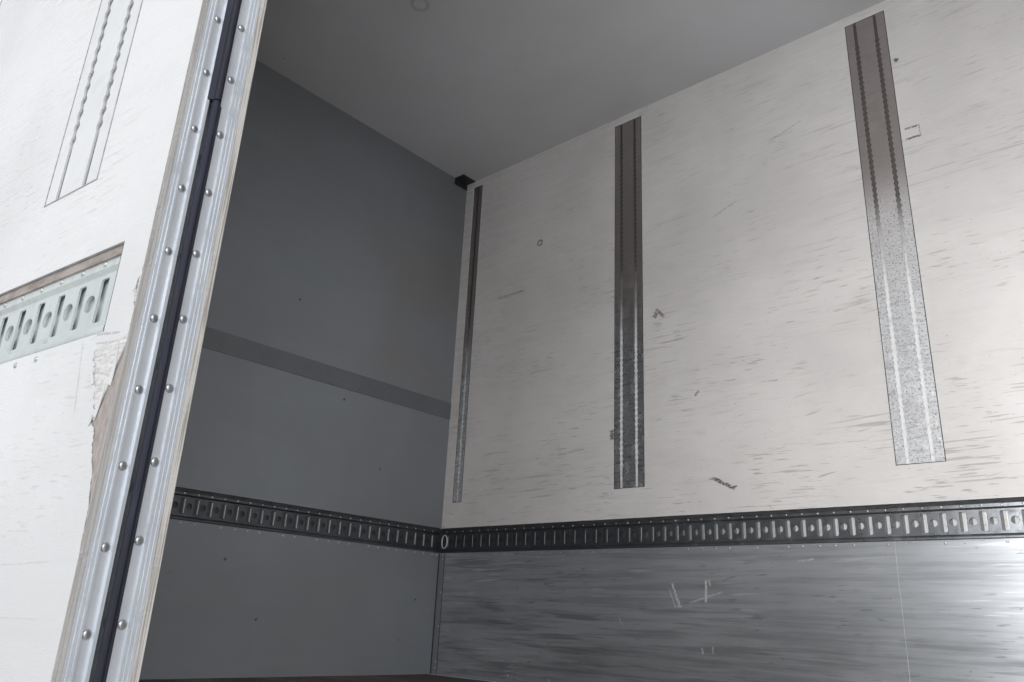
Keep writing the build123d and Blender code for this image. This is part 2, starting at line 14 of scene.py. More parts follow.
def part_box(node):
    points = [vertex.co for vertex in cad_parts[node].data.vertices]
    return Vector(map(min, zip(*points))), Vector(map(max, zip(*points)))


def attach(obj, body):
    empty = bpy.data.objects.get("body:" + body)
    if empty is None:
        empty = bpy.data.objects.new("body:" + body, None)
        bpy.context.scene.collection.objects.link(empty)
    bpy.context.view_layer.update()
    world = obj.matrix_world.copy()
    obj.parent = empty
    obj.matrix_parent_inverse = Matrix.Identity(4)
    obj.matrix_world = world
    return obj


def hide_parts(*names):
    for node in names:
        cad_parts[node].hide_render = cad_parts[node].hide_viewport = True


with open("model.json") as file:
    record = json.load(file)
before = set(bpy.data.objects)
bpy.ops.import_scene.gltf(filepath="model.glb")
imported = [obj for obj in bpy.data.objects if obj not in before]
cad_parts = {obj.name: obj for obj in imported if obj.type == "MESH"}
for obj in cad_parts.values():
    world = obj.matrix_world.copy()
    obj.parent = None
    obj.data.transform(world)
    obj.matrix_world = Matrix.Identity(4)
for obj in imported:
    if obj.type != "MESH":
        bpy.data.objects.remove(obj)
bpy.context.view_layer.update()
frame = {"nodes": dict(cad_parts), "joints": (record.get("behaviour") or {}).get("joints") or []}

# Planes of the box body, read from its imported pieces, in metres
wall_low, wall_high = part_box("right_wall")
front, rear_post = wall_low.x, wall_high.x
inner_side, outer_side = wall_low.y, wall_high.y
floor, ceiling = wall_low.z, wall_high.z
wall_thickness = outer_side - inner_side
room_height = ceiling - floor
rail_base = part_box("right_lashing_rail")[0].z - floor
track_low, track_high = (corner.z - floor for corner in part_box("right_deck_tracks"))
fixed_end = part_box("left_fixed_panel")[1].x
hinge_rods = {joint["child"]: Vector(joint["pos_m"]) for joint in frame["joints"]}
door_gap = 0.014
leaf_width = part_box("leaf_2_panel")[1].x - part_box("leaf_2_panel")[0].x
leaf_open_angle = math.radians(174)
rear_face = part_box("rear_door_left_panel")[1].x
bracket_low, bracket_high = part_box("rear_hinge_brackets")

# Lashing rail: depth into the wall and height over its lower edge
slot_pitch = 0.059
slot_width = 0.020
slot_height = 0.063
slot_bottom = 0.026
slot_corner = 0.003
slot_middle = rail_base + slot_bottom + slot_height / 2
eye_radius = 0.0125
plate_face = 0.012
plate_back = 0.015
plate_bottom = 0.018
plate_top = 0.095
rail_top = 0.123
rail_seat = 0.020
leaf_rail_inset = 0.062
rail_end_gap = 0.004
flange_depth = 0.007
# Strip over the rail's top: painted shadow of the gap above its flange
flange_screw_height = 0.107
gap_shadow_height = 0.013
gap_shadow_reach = 0.003
gap_shadow_over_rail = 0.002
slot_backing_sheet = 0.0012
slot_backing_over_plate = 0.008
# Dark blocks in the rail's end gaps: painted shadow
end_shadow_face = 0.0012
end_shadow_inset = 0.002

# Deck track: sheet with two scalloped slots, folded webs, a backing sheet and a seal around it
track_width = 0.160
track_edge_gap = 0.0028
groove_offset = 0.040
groove_half = 0.006
scallop_radius = 0.0095
scallop_pitch = 0.025
scallop_from_bottom = 0.095
scallop_from_top = 0.110
track_sheet = 0.003
backing_depth = 0.008
first_track = 1.171
track_pitch = 1.182
corner_track_middle = 0.102
corner_track_width = 0.066
leaf_track_inset = 0.267
web_inset = 0.006
web_sheet = 0.002
backing_gap = 0.0005
backing_sheet = 0.003
edging_reach = (0.0004, 0.0025)
edging_depth = (-0.0006, 0.0022)

# Bent sheet of the rail and the lips of its slots
rail_sheet = 0.003
rail_step = 0.006
rail_edge_round = 0.001
bead_height = 0.006
bead_reach = 0.003
lip_sheet = 0.0022
lip_overlap = 0.0004
lip_depth = 0.0186

# Hinge end faces: depth of the channel and its middle, seen from the lining, and the rivets
channel_depth = 0.004
channel_middle = wall_thickness - 0.0108
rivet_pitch = 0.092
leaf_rivet_start = 0.040
fixed_rivet_start = 0.057

# Depth into a wall at which its outer skin begins
outer_skin = (0.030, 0.034)


# Node trees


class Socket:
    """An output of a node tree; an expression on it adds Math nodes."""

    def __init__(self, tree, socket=None):
        self.tree = tree
        self.socket = socket

    def node(self, kind, values=None, settings=None, out=0):
        """Add a node: its settings first, then the values or links of its inputs."""
        made = self.tree.nodes.new(kind)
        for name, value in (settings or {}).items():
            if name == "stops":
                ramp = made.color_ramp.elements
                while len(ramp) < len(value):
                    ramp.new(1.0)
                for element, (place, colour) in zip(ramp, value):
                    element.position = place
                    element.color = colour
            else:
                setattr(made, name, value)
        for name, value in (values or {}).items():
            if isinstance(value, Socket):
                self.tree.links.new(value.socket, made.inputs[name])
            else:
                made.inputs[name].default_value = value
        return Socket(self.tree, made.outputs[out] if len(made.outputs) else None)

    def math(self, operation, *others):
        """This value and others through one Math node."""
        return self.node(
            "ShaderNodeMath", dict(enumerate((self, *others))), {"operation": operation}
        )

    def __add__(self, other):
        return self.math("ADD", other)

    def __mul__(self, other):
        return self.math("MULTIPLY", other)

    def __sub__(self, other):
        return self.math("SUBTRACT", other)

    def __rsub__(self, other):
        return self.node("ShaderNodeMath", {0: other, 1: self}, {"operation": "SUBTRACT"})

    def __truediv__(self, other):
        return self.math("DIVIDE", other)

    def __abs__(self):
        return self.math("ABSOLUTE")

    __radd__ = __add__
    __rmul__ = __mul__

    def scaled(self, factor, rest):
        """This value times a factor, plus the rest."""
        return self.math("MULTIPLY_ADD", factor, rest)

    def most(self, other):
        """The larger of this value and another."""
        return self.math("MAXIMUM", other)

    def clamped(self):
        """This value held between 0 and 1."""
        return self.node("ShaderNodeClamp", {"Value": self})

    def band(self, low, high):
        """0 at low and 1 at high, with a smooth step between them."""
        return self.node(
            "ShaderNodeMapRange",
            {"Value": self, "From Min": low, "From Max": high},
            {"interpolation_type": "SMOOTHSTEP"},
        )

    def over(self, base, colour):
        """Mix from base to colour, with this value as the mask."""
        return self.node(
            "ShaderNodeMix", {0: self, 6: base, 7: colour}, {"data_type": "RGBA"}, out=2
        )


def paint(red, green, blue):
    """A linear colour."""
    return (red, green, blue, 1.0)


def grey(value):
    """A linear colour without a hue."""
    return paint(value, value, value)


def laid_over(colour, *coats):
    """Lay coats over a colour, each with its mask, its strength and its own colour."""
    for mask, strength, coat in coats:
        colour = (mask * strength).over(colour, coat)
    return colour


class Finish:
    """A procedural material, read in Object coordinates or in the space of one wall."""

    def __init__(self, name, space=None):
        self.material = bpy.data.materials.new(name)
        self.material.use_nodes = True
        self.tree = self.material.node_tree
        self.tree.nodes.clear()
        self.start = Socket(self.tree)
        self.place = self.start.node("ShaderNodeTexCoord", out="Object")
        self.facing = self.start.node("ShaderNodeTexCoord", out="Normal")
        if space is not None:
            back = space.inverted()
            turn = tuple(back.to_euler())
            self.place = self.mapped(self.place, Rotation=turn, Location=tuple(back.translation))
            self.facing = self.start.node(
                "ShaderNodeMapping", {"Vector": self.facing, "Rotation": turn}, {"vector_type": "VECTOR"}
            )
        self.u, self.v, self.w = self.part(self.place)

    def part(self, vector):
        """The X, Y and Z parts of a vector."""
        made = self.start.node("ShaderNodeSeparateXYZ", {"Vector": vector}).socket.node
        return tuple(Socket(self.tree, made.outputs[i]) for i in range(3))

    def mapped(self, where, **values):
        """A place scaled, turned or moved by a Mapping node."""
        return self.start.node("ShaderNodeMapping", {"Vector": where, **values})

    def noise(self, where, scale=1.0, detail=4.0, roughness=0.55):
        """Noise value over a place."""
        return self.start.node(
            "ShaderNodeTexNoise",
            {"Vector": where, "Scale": scale, "Detail": detail, "Roughness": roughness},
        )

    def streaked(self, x, y, z, detail, roughness=0.55, shift=0.0):
        """Noise with so many waves to the metre along each axis."""
        where = self.mapped(self.place, Scale=(x, y, z), Location=(shift,) * 3)
        return self.noise(where, 1.0, detail, roughness)

    def scuffs(self, length, width, turn, level, patch, shift):
        """Thin marks about a length and a width in metres, gathered in patches: 1 on a mark."""
        turned = self.mapped(self.place, Rotation=(0.0, turn, 0.0))
        where = self.mapped(turned, Scale=(1 / length, 1.0, 1 / width), Location=(shift,) * 3)
        lines = self.noise(where, 1.0, 2.5, 0.5)
        groups = self.streaked(1 / patch, 1.0, 1.4 / patch, 1.0, shift=shift + 5)
        return lines.band(level, level + 0.07) * groups.band(0.44, 0.60)

    def stroke(self, start, end, width):
        """1 on a straight mark between two places of the wall, each along and up it."""
        run_u, run_w = end[0] - start[0], end[1] - start[1]
        middle_u, middle_w = start[0] + run_u / 2, start[1] + run_w / 2
        length = math.hypot(run_u, run_w)
        way_u, way_w = run_u / length, run_w / length
        from_middle = self.w.scaled(way_w, -middle_u * way_u - middle_w * way_w)
        along = self.u.scaled(way_u, from_middle)
        from_line = self.w.scaled(way_u, middle_u * way_w - middle_w * way_u)
        across = self.u.scaled(-way_w, from_line)
        beside = abs(across).band(width * 0.7, width * 0.3)
        return beside * abs(along).band(length * 0.55, length * 0.4)

    def ring(self, centre, radius, width):
        """1 on a round mark about a place of the wall."""
        across, up = self.u - centre[0], self.w - centre[1]
        distance = (across * across + up * up).math("SQRT")
        return abs(distance - radius).band(width * 0.8, width * 0.3)

    def profile(self, value, points, top):
        """Follow a table of places and amounts, none of them over top."""
        low, high = points[0][0], points[-1][0]
        stops = [((at - low) / (high - low), grey(amount / top)) for at, amount in points]
        share = (value - low) / (high - low)
        return self.start.node("ShaderNodeValToRGB", {"Fac": share}, {"stops": stops}) * top

    def relief(self, height, distance, strength=1.0):
        """Bump from a height value."""
        return self.start.node(
            "ShaderNodeBump", {"Height": height, "Distance": distance, "Strength": strength}
        )

    def done(self, colour, roughness, metallic=0.0, relief=None, **fixed):
        """Close the tree with one Principled shader."""
        values = {"Base Color": colour, "Roughness": roughness, "Metallic": metallic}
        if relief is not None:
            values["Normal"] = relief
        values.update({name.replace("_", " "): value for name, value in fixed.items()})
        shader = self.start.node("ShaderNodeBsdfPrincipled", values)
        self.start.node("ShaderNodeOutputMaterial", {"Surface": shader})
        return self.material


# Walls: each has its own space, U along it, V into it and W up from the floor


def wall_space(origin, along):
    """Matrix from a wall's own space; V is to the right of U when seen from above."""
    u = Vector(along)
    w = Vector((0.0, 0.0, 1.0))
    v = w.cross(u)
    space = Matrix((u, v, w)).transposed().to_4x4()
    space.translation = origin
    return space


def turned_about(rod, angle):
    """Matrix of a turn about an upright rod."""
    return Matrix.Translation(rod) @ Matrix.Rotation(angle, 4, "Z") @ Matrix.Translation(-rod)


right_space = wall_space((front, inner_side, floor), (1, 0, 0))
front_space = wall_space((front, -inner_side, floor), (0, 1, 0))
left_space = wall_space((rear_post, -inner_side, floor), (-1, 0, 0))
fixed_space = wall_space((fixed_end, -inner_side, floor), (-1, 0, 0))

wall_length = rear_post - front
fixed_length = fixed_end - front
leaf_names = ("leaf_1", "leaf_2", "leaf_3", "leaf_4")
forward_leaves = ("leaf_1", "leaf_3")
right_tracks = [(corner_track_middle, corner_track_width)] + [
    (first_track + i * track_pitch, track_width) for i in range(6)
]
fixed_tracks = [
    (fixed_length - corner_track_middle, corner_track_width),
    (fixed_length - first_track, track_width),
]
leaf_tracks = [(leaf_track_inset, track_width), (leaf_width - leaf_track_inset, track_width)]


def leaf_space(name):
    """Space of a side leaf as it stands, with U from its rear edge forward."""
    rod = hinge_rods[name]
    rear_edge = rod.x + door_gap / 2 + leaf_width if name in forward_leaves else rod.x - door_gap / 2
    space = wall_space((rear_edge, -inner_side, floor), (-1, 0, 0))
    if name == "leaf_1":
        space = turned_about(rod, -leaf_open_angle) @ space
    return space


# Marks of use: places along and up a wall, in metres

right_wall_strokes = (
    # start, end, width, strength
    ((0.308, 1.941), (0.512, 1.944), 0.008, 0.55),
    ((0.330, 2.290), (0.358, 2.297), 0.006, 0.5),
    ((1.321, 1.646), (1.362, 1.598), 0.016, 0.75),
    ((1.308, 1.602), (1.324, 1.628), 0.022, 0.7),
    ((1.570, 0.850), (1.668, 0.799), 0.013, 0.9),
    ((1.600, 0.842), (1.556, 0.846), 0.006, 0.6),
    ((1.640, 0.806), (1.676, 0.806), 0.007, 0.8),
    ((2.447, 2.138), (2.503, 2.136), 0.007, 0.85),
    ((2.447, 2.092), (2.503, 2.090), 0.007, 0.85),
    ((2.498, 2.138), (2.502, 2.092), 0.005, 0.5),
    ((1.080, 1.060), (1.080, 1.108), 0.022, 0.85),
    ((1.620, 2.020), (1.740, 2.066), 0.005, 0.45),
    ((1.900, 2.300), (2.060, 2.352), 0.005, 0.4),
    ((0.760, 1.020), (0.930, 1.036), 0.005, 0.4),
    ((1.505, 1.205), (1.522, 1.222), 0.012, 0.7),
)
right_wall_rings = (((0.605, 2.197), 0.015, 0.008, 0.75), ((2.453, 2.465), 0.004, 0.010, 0.8))
front_wall_strokes = tuple(
    ((u - 0.006, w), (u + 0.006, w + 0.004), 0.010, 0.8)
    for u, w in (
        (1.440, 1.656), (2.023, 0.942), (1.200, 0.599), (2.238, 0.155),
        (2.326, 0.343), (1.456, 0.221), (1.273, 0.447), (1.760, 1.240),
    )
)
kick_plate_strokes = (
    ((1.375, 0.441), (1.409, 0.350), 0.009, 0.9),
    ((1.360, 0.420), (1.390, 0.345), 0.006, 0.5),
    ((1.392, 0.350), (1.420, 0.352), 0.007, 0.8),
    ((1.527, 0.453), (1.524, 0.368), 0.010, 0.9),
    ((1.541, 0.455), (1.545, 0.430), 0.008, 0.6),
    ((1.454, 0.366), (1.594, 0.409), 0.006, 0.5),
    ((1.500, 0.205), (1.503, 0.180), 0.007, 0.5),
    ((1.545, 0.210), (1.548, 0.182), 0.007, 0.45),
    ((1.120, 0.300), (1.142, 0.262), 0.004, 0.4),
    ((1.900, 0.520), (1.960, 0.526), 0.006, 0.4),
)
leaf_strokes = (
    ((leaf_width - 0.020, 0.573), (leaf_width - 0.080, 0.580), 0.003, 0.40),
    ((leaf_width - 0.030, 0.562), (leaf_width - 0.075, 0.567), 0.003, 0.30),
    ((leaf_width - 0.110, 0.575), (leaf_width - 0.088, 0.480), 0.004, 0.22),
    ((leaf_width - 0.190, 0.300), (leaf_width - 0.060, 0.304), 0.0016, 0.16),
    ((leaf_width - 0.300, 0.238), (leaf_width - 0.050, 0.243), 0.0016, 0.12),
)

# Where a painted pale sheen of light lies on the right wall's metal: along the wall and up it
kick_sheen_span = (2.4, 3.1)
track_sheen_span = (1.5, 2.2)
sheen_top = (2.05, 1.75)

# Ring on the ceiling, in the row frame, and the height over the ceiling where the roof's skin begins
ceiling_ring = (-2.787, 0.030)
ceiling_ring_radius = 0.035
roof_skin_start = 0.012

# Torn lining beside the hinge of the open leaf: height over the floor and bare width
torn_width_limit = 0.080
torn_lining = (
    (0.300, 0.000), (0.365, 0.004), (0.386, 0.010), (0.405, 0.014), (0.417, 0.020),
    (0.434, 0.026), (0.451, 0.029), (0.464, 0.043), (0.476, 0.041), (0.492, 0.049),
    (0.511, 0.056), (0.535, 0.066), (0.558, 0.078), (0.566, 0.002), (0.600, 0.000),
    (0.615, 0.007), (0.640, 0.006), (0.660, 0.000),
)
flap_foot = (0.036, 0.465)
flap_head = (0.001, 0.552)


# Finishes


def marked(finish, colour, mark, strokes, rings=(), grain=1.0):
    """Lay a table of strokes and rings over a colour, with slightly broken edges."""
    wander = (finish.noise(finish.place, 60.0 / grain, 2.0) - 0.5) * (0.012 * grain**2)
    broken = finish.noise(finish.place, 130.0 / grain, 1.0).band(0.30, 0.52)
    finish.u, finish.w = finish.u + wander, finish.w + wander
    masks = [finish.stroke(start, end, width) * strength for start, end, width, strength in strokes]
    worn = masks[0]
    for mask in masks[1:]:
        worn = worn.most(mask)
    colour = (worn * broken).over(colour, mark)
    for centre, radius, width, strength in rings:
        colour = (finish.ring(centre, radius, width) * strength).over(colour, mark)
    return colour


def torn_edge(made, torn):
    """Torn lining beside a leaf's hinge: masks of the bare core and of a painted shadow along its rim,
    colour and relief.
    """
    ragged = made.streaked(60.0, 1.0, 120.0, 5.0, 0.6)
    from_edge = leaf_width - made.u
    reach = made.profile(made.w, torn, torn_width_limit) * (0.72 + ragged * 0.5) - from_edge
    bare = reach.band(0.0, 0.0010)
    # Dark band just inside the bare core's edge: painted shadow of the torn lining
    rim_shadow = bare * (1 - reach.band(0.0010, 0.0050)) * ragged.band(0.42, 0.6)
    strands = made.streaked(300.0, 1.0, 60.0, 4.0, 0.6)
    weave = made.streaked(70.0, 1.0, 260.0, 4.0, 0.6)
    fibres = strands.band(0.3, 0.7).over(paint(0.46, 0.40, 0.365), paint(0.27, 0.245, 0.235))
    woven = weave.band(0.35, 0.65).over(paint(0.76, 0.75, 0.74), paint(0.52, 0.51, 0.50))
    slope = (flap_foot[0] - flap_head[0]) / (flap_head[1] - flap_foot[1])
    past_flap = from_edge - (flap_foot[0] + flap_foot[1] * slope) + made.w * slope
    cloth = past_flap.band(-0.001, 0.003) * made.w.band(0.455, 0.468)
    return bare, rim_shadow, cloth.over(fibres, woven), bare * ((strands + weave) * 0.5 - 1.6)


def lining_finish(name, space, clean, mark, edge, wear, grain, strokes=(), rings=(), torn=None):
    """Glass-fibre faced panel: scuffed lining, cut edges and a cleaner outer skin."""
    made = Finish(name, space)
    along, _, up = made.part(made.facing)
    haze = made.noise(made.place, 1.4, 6.0, 0.62)
    wipes = made.streaked(1.6, 1.0, 24.0, 4.0, 0.62, shift=2.0)
    fibre = made.streaked(70.0, 60.0, 330.0, 3.0)
    scuffs = (
        # mask, strength
        (made.scuffs(0.26 * grain, 0.0105 * grain, 0.015, 0.585, 0.50, 1.0), 0.36),
        (made.scuffs(0.09 * grain, 0.0085 * grain, -0.02, 0.590, 0.33, 7.0), 0.42),
        (made.scuffs(0.15 * grain, 0.0100 * grain, 0.20, 0.650, 0.60, 13.0), 0.40),
        (made.scuffs(0.04 * grain, 0.0085 * grain, -0.80, 0.685, 0.40, 17.0), 0.40),
        (made.noise(made.place, 75.0 / grain, 2.0).band(0.70, 0.75), 0.50),
        (made.streaked(7.0, 1.0, 14.0, 3.0, shift=9.0).band(0.64, 0.76), 0.12),
        (wipes.band(0.50, 0.75), 0.10),
    )
    colour = haze.band(0.36, 0.66).over(clean, paint(*(part * 0.87 for part in clean[:3])))
    rubbing = 1.25 - made.w.band(0.9, 2.2) * 0.45
    for mask, strength in scuffs:
        colour = (mask * rubbing * (strength * wear)).over(colour, mark)
    if strokes:
        colour = marked(made, colour, paint(0.045, 0.038, 0.034), strokes, rings, grain)
    height = fibre * 0.25 + haze * 0.8
    rough = 0.21 + wipes * 0.12 + (scuffs[0][0] + scuffs[1][0] * 0.8) * 0.12
    if torn:
        bare, rim_shadow, fibres, sunk = torn_edge(made, torn)
        colour = bare.over(colour, fibres)
        # Painted shadow along the rim of the bare core
        colour = laid_over(colour, (rim_shadow, 0.8, paint(0.09, 0.08, 0.075)))
        height = height + sunk
        rough = rough + bare * 0.35
    edge_lines = made.streaked(40.0, 620.0, 9.0, 3.0)
    cut = edge_lines.band(0.42, 0.60).over(*edge)
    colour = abs(along).most(abs(up)).band(0.7, 0.9).over(colour, cut)
    runs = made.streaked(22.0, 1.0, 1.0, 2.0, shift=4.0).band(0.52, 0.8) * 0.16
    spray = made.w.band(0.9, -0.1) * made.streaked(3.0, 1.0, 1.6, 3.0).band(0.3, 0.75)
    skin = runs.over(paint(0.75, 0.765, 0.77), paint(0.42, 0.41, 0.39))
    skin = laid_over(skin, (spray, 0.42, paint(0.30, 0.27, 0.235)))
    outside = made.v.band(*outer_skin)
    return made.done(
        outside.over(colour, skin),
        (rough * (1 - outside) + outside * (spray * 0.4 + 0.30)).clamped(),
        relief=made.relief(height * (1 - outside), 0.0013, 0.55),
    )


def metal_finish(
    name, bright, dull, rough, grain, space=None, spangle=0.0, dirt=0.3, metallic=0.9, painted_shade=None,
    rubbed=0.0, sheen_span=None,
):
    """Metal with a drawn grain, dull patches and grime, with painted shade or a painted pale sheen along a
    wall.
    """
    made = Finish(name, space)
    drawn = made.streaked(*grain, 4.0, 0.6)
    cloud = made.noise(made.place, 7.0, 5.0)
    crystal = made.start.node("ShaderNodeTexVoronoi", {"Vector": made.place, "Scale": 140.0}, out=1)
    crystal = made.part(crystal)[0]
    grime = made.noise(made.place, 23.0, 6.0, 0.65).band(0.52, 0.72)
    mixture = (cloud.band(0.3, 0.75) * 0.5 + drawn * 0.35 + crystal * spangle).clamped()
    colour = laid_over(mixture.over(bright, dull), (grime, dirt, paint(0.05, 0.047, 0.045)))
    roughness = rough + (drawn - 0.5) * 0.18 + grime * 0.2 + crystal * (spangle * 0.15)
    if rubbed:
        across = made.streaked(16.0, 1.0, 95.0, 4.0, 0.6).band(0.50, 0.64)
        pits = made.noise(made.place, 150.0, 2.0).band(0.60, 0.68)
        colour = laid_over(colour, (across.most(pits), rubbed, paint(0.10, 0.10, 0.105)))
    if painted_shade:
        # Painted shade: darker and rougher towards one end or the top of a wall, where less light falls
        axis, low, high, dark = painted_shade
        way = (made.u, made.v, made.w)[axis] + (cloud - 0.5) * 0.5
        mask = way.band(low, high)
        colour = laid_over(colour, (mask, 0.9, dark))
        roughness = roughness + mask * 0.25
    polish = metallic - grime * (dirt * 0.8)
    if sheen_span:
        # Painted pale sheen low down towards the rear, broken by dark specks, with less metallic shine
        pale = made.u.band(*sheen_span) * made.w.band(*sheen_top)
        speckles = made.streaked(120.0, 1.0, 170.0, 3.0).band(0.52, 0.64)
        colour = laid_over(
            colour,
            (pale, 0.42, paint(0.80, 0.80, 0.82)),
            (speckles * pale, 0.62, paint(0.13, 0.13, 0.14)),
        )
        polish = polish * (1 - pale * 0.65)
    return made.done(
        colour,
        roughness.clamped(),
        metallic=polish.clamped(),
        relief=made.relief(drawn + cloud * 0.6, 0.0004, 0.5),
    )


def kick_finish():
    """Rolled metal lining rubbed along its length, with gouges, dark streaks and a painted pale sheen
    towards the rear.
    """
    made = Finish("kick_metal", right_space)
    cloud = made.streaked(0.9, 1.0, 2.2, 5.0, 0.6)
    brushed = made.streaked(1.4, 1.0, 34.0, 6.0, 0.70)
    fine = made.streaked(4.0, 1.0, 170.0, 3.0, 0.6)
    streaks = made.scuffs(0.55, 0.030, 0.0, 0.56, 0.80, 3.0)
    knocks = made.scuffs(0.10, 0.014, 0.05, 0.60, 0.40, 23.0)
    glints = made.scuffs(0.22, 0.012, 0.03, 0.60, 0.60, 8.0)
    spots = made.noise(made.place, 42.0, 3.0).band(0.68, 0.75)
    low = made.w.band(0.42, 0.18)
    # Painted sheen: pale towards the rear, where light falls on the plates
    kick_sheen = made.u.band(*kick_sheen_span)
    colour = cloud.band(0.32, 0.70).over(paint(0.52, 0.54, 0.57), paint(0.36, 0.375, 0.395))
    colour = laid_over(
        colour,
        (kick_sheen, 1.0, paint(0.86, 0.87, 0.88)),
        (brushed.band(0.42, 0.62), 0.42 + low * 0.2, paint(0.19, 0.195, 0.205)),
        (streaks, 0.45, paint(0.10, 0.105, 0.11)),
        (knocks, 0.45, paint(0.12, 0.12, 0.125)),
        (glints, 0.40, paint(0.80, 0.82, 0.84)),
        (spots, 0.45, grey(0.09)),
    )
    colour = marked(made, colour, paint(0.95, 0.97, 1.0), kick_plate_strokes)
    rough = 0.22 + brushed * 0.22 + streaks * 0.15 + cloud * 0.08
    height = brushed * 0.9 + fine * 0.3
    return made.done(colour, rough, metallic=0.60, relief=made.relief(height, 0.0007, 0.6))


def front_finish():
    """Front panel, smooth, dark grey inside with a few dark knocks, and white outside."""
    made = Finish("front_lining", front_space)
    haze = made.noise(made.place, 0.9, 6.0, 0.6)
    wipes = made.streaked(2.0, 1.0, 9.0, 5.0)
    scuffs = made.scuffs(0.09, 0.0030, 0.06, 0.64, 0.55, 2.0)
    specks = made.noise(made.place, 90.0, 2.0).band(0.73, 0.77)
    colour = haze.band(0.3, 0.7).over(paint(0.226, 0.244, 0.270), paint(0.190, 0.200, 0.212))
    warm = made.u.band(1.4, 2.1) * made.w.band(1.2, 1.6) * made.w.band(2.5, 2.0)
    colour = laid_over(
        colour,
        (warm * haze.band(0.30, 0.60), 0.6, paint(0.235, 0.212, 0.196)),
        (wipes.band(0.5, 0.75), 0.12, paint(0.30, 0.29, 0.28)),
        (scuffs, 0.35, grey(0.30)),
        (specks, 0.6, grey(0.03)),
    )
    colour = marked(made, colour, paint(0.02, 0.02, 0.022), front_wall_strokes)
    outside = made.v.band(*outer_skin)
    return made.done(
        outside.over(colour, paint(0.77, 0.785, 0.79)),
        (0.40 + wipes * 0.15) * (1 - outside) + outside * 0.28,
        relief=made.relief(haze, 0.0015, 0.35),
    )


def roof_finish():
    """Roof panel: white outer skin; a grey ceiling, its white darkened as painted shade, with spots and
    one ring.
    """
    made = Finish("roof_skin")
    haze = made.noise(made.place, 0.8, 5.0)
    runs = made.streaked(1.2, 30.0, 1.0, 3.0)
    spots = made.noise(made.place, 45.0, 2.0).band(0.72, 0.77)
    # Ceiling: white darkened to grey as painted shade
    under = haze.band(0.3, 0.7).over(paint(0.61, 0.62, 0.645), paint(0.54, 0.54, 0.55))
    across, along = made.v - ceiling_ring[1], made.u - ceiling_ring[0]
    distance = (across * across + along * along).math("SQRT")
    ring = abs(distance - ceiling_ring_radius).band(0.012, 0.004)
    under = laid_over(
        under, (spots, 0.4, paint(0.25, 0.24, 0.23)), (ring, 0.35, paint(0.20, 0.19, 0.19))
    )
    streaks = runs.band(0.5, 0.8) * haze.band(0.35, 0.7)
    skin = laid_over(paint(0.76, 0.77, 0.77), (streaks, 0.30, paint(0.45, 0.45, 0.43)))
    outer = made.w.band(ceiling + roof_skin_start, ceiling + roof_skin_start + 0.002)
    return made.done(
        outer.over(under, skin),
        0.44 + haze * 0.16,
        relief=made.relief(haze, 0.002, 0.4),
    )


def skin_finish(name, clean, streak):
    """Painted steel with faint run-off streaks and rubbed grime."""
    made = Finish(name)
    runs = made.streaked(26.0, 26.0, 1.1, 5.0)
    cloud = made.noise(made.place, 0.9, 4.0)
    chips = made.noise(made.place, 38.0, 4.0).band(0.70, 0.74)
    colour = laid_over(
        clean,
        (runs.band(0.5, 0.8) * cloud.band(0.35, 0.7), 0.35, streak),
        (chips, 0.5, paint(0.30, 0.27, 0.25)),
    )
    height = cloud + runs * 0.1 - chips * 0.2
    return made.done(colour, 0.30 + cloud * 0.16, relief=made.relief(height, 0.0012, 0.35))


def deck_finish():
    """Dark coated plywood deck with an embossed mesh and worn lanes."""
    made = Finish("deck_board")
    mesh = made.start.node("ShaderNodeTexVoronoi", {"Vector": made.place, "Scale": 160.0})
    lanes = made.streaked(0.8, 5.0, 1.0, 5.0)
    sand = made.noise(made.place, 40.0, 6.0)
    mask = (lanes.band(0.45, 0.75) * 0.6 + sand * 0.2).clamped()
    return made.done(
        mask.over(paint(0.055, 0.040, 0.032), paint(0.20, 0.165, 0.13)),
        0.55 + sand * 0.25,
        relief=made.relief(mesh, 0.0006, 0.8),
    )


def rubber_finish():
    """Blue-black hinge rubber, a little dusty and rubbed lighter along its crown."""
    made = Finish("hinge_rubber")
    dust = made.streaked(40.0, 40.0, 6.0, 5.0)
    worn = made.streaked(200.0, 200.0, 14.0, 3.0).band(0.55, 0.75)
    colour = dust.band(0.35, 0.8).over(paint(0.004, 0.005, 0.018), paint(0.014, 0.017, 0.040))
    return made.done(
        (worn * 0.4).over(colour, paint(0.05, 0.055, 0.075)),
        0.45 + dust * 0.25,
        relief=made.relief(dust, 0.0003, 0.4),
    )


def lens_finish():
    """Amber lamp lens with upright flutes."""
    made = Finish("lamp_lens")
    flutes = (made.u * 1250.0).math("SINE")
    dust = made.noise(made.place, 70.0, 5.0)
    colour = dust.band(0.4, 0.8).over(paint(0.80, 0.30, 0.02), paint(0.52, 0.22, 0.05))
    return made.done(
        colour, 0.12 + dust * 0.2, relief=made.relief(flutes, 0.0005, 0.5), Coat_Weight=0.4
    )


def backing_finish(name, axis, lighting_span, first, last, half_lit=None):
    """Painted sheet behind openings, with painted light and shade changing along one axis; half_lit paints
    shade on half of each slot.
    """
    made = Finish(name, right_space)
    cloud = made.noise(made.place, 5.0, 5.0, 0.6)
    dirt = made.noise(made.place, 60.0, 4.0).band(0.5, 0.75)
    way = (made.u, made.v, made.w)[axis] + (cloud - 0.5) * 0.35
    # Painted light and shade along one axis
    painted_lighting = way.band(*lighting_span)
    if half_lit:
        first_slot, step = half_lit
        within = ((made.u - first_slot) / step).math("FRACT")
        painted_lighting = painted_lighting * (1 - within.band(0.36, 0.46) * 0.8)
    colour = painted_lighting.over(first, last)
    return made.done(
        (dirt * 0.35).over(colour, paint(0.12, 0.115, 0.11)), 0.5 + dirt * 0.2,
        relief=made.relief(cloud, 0.0008, 0.4),
    )


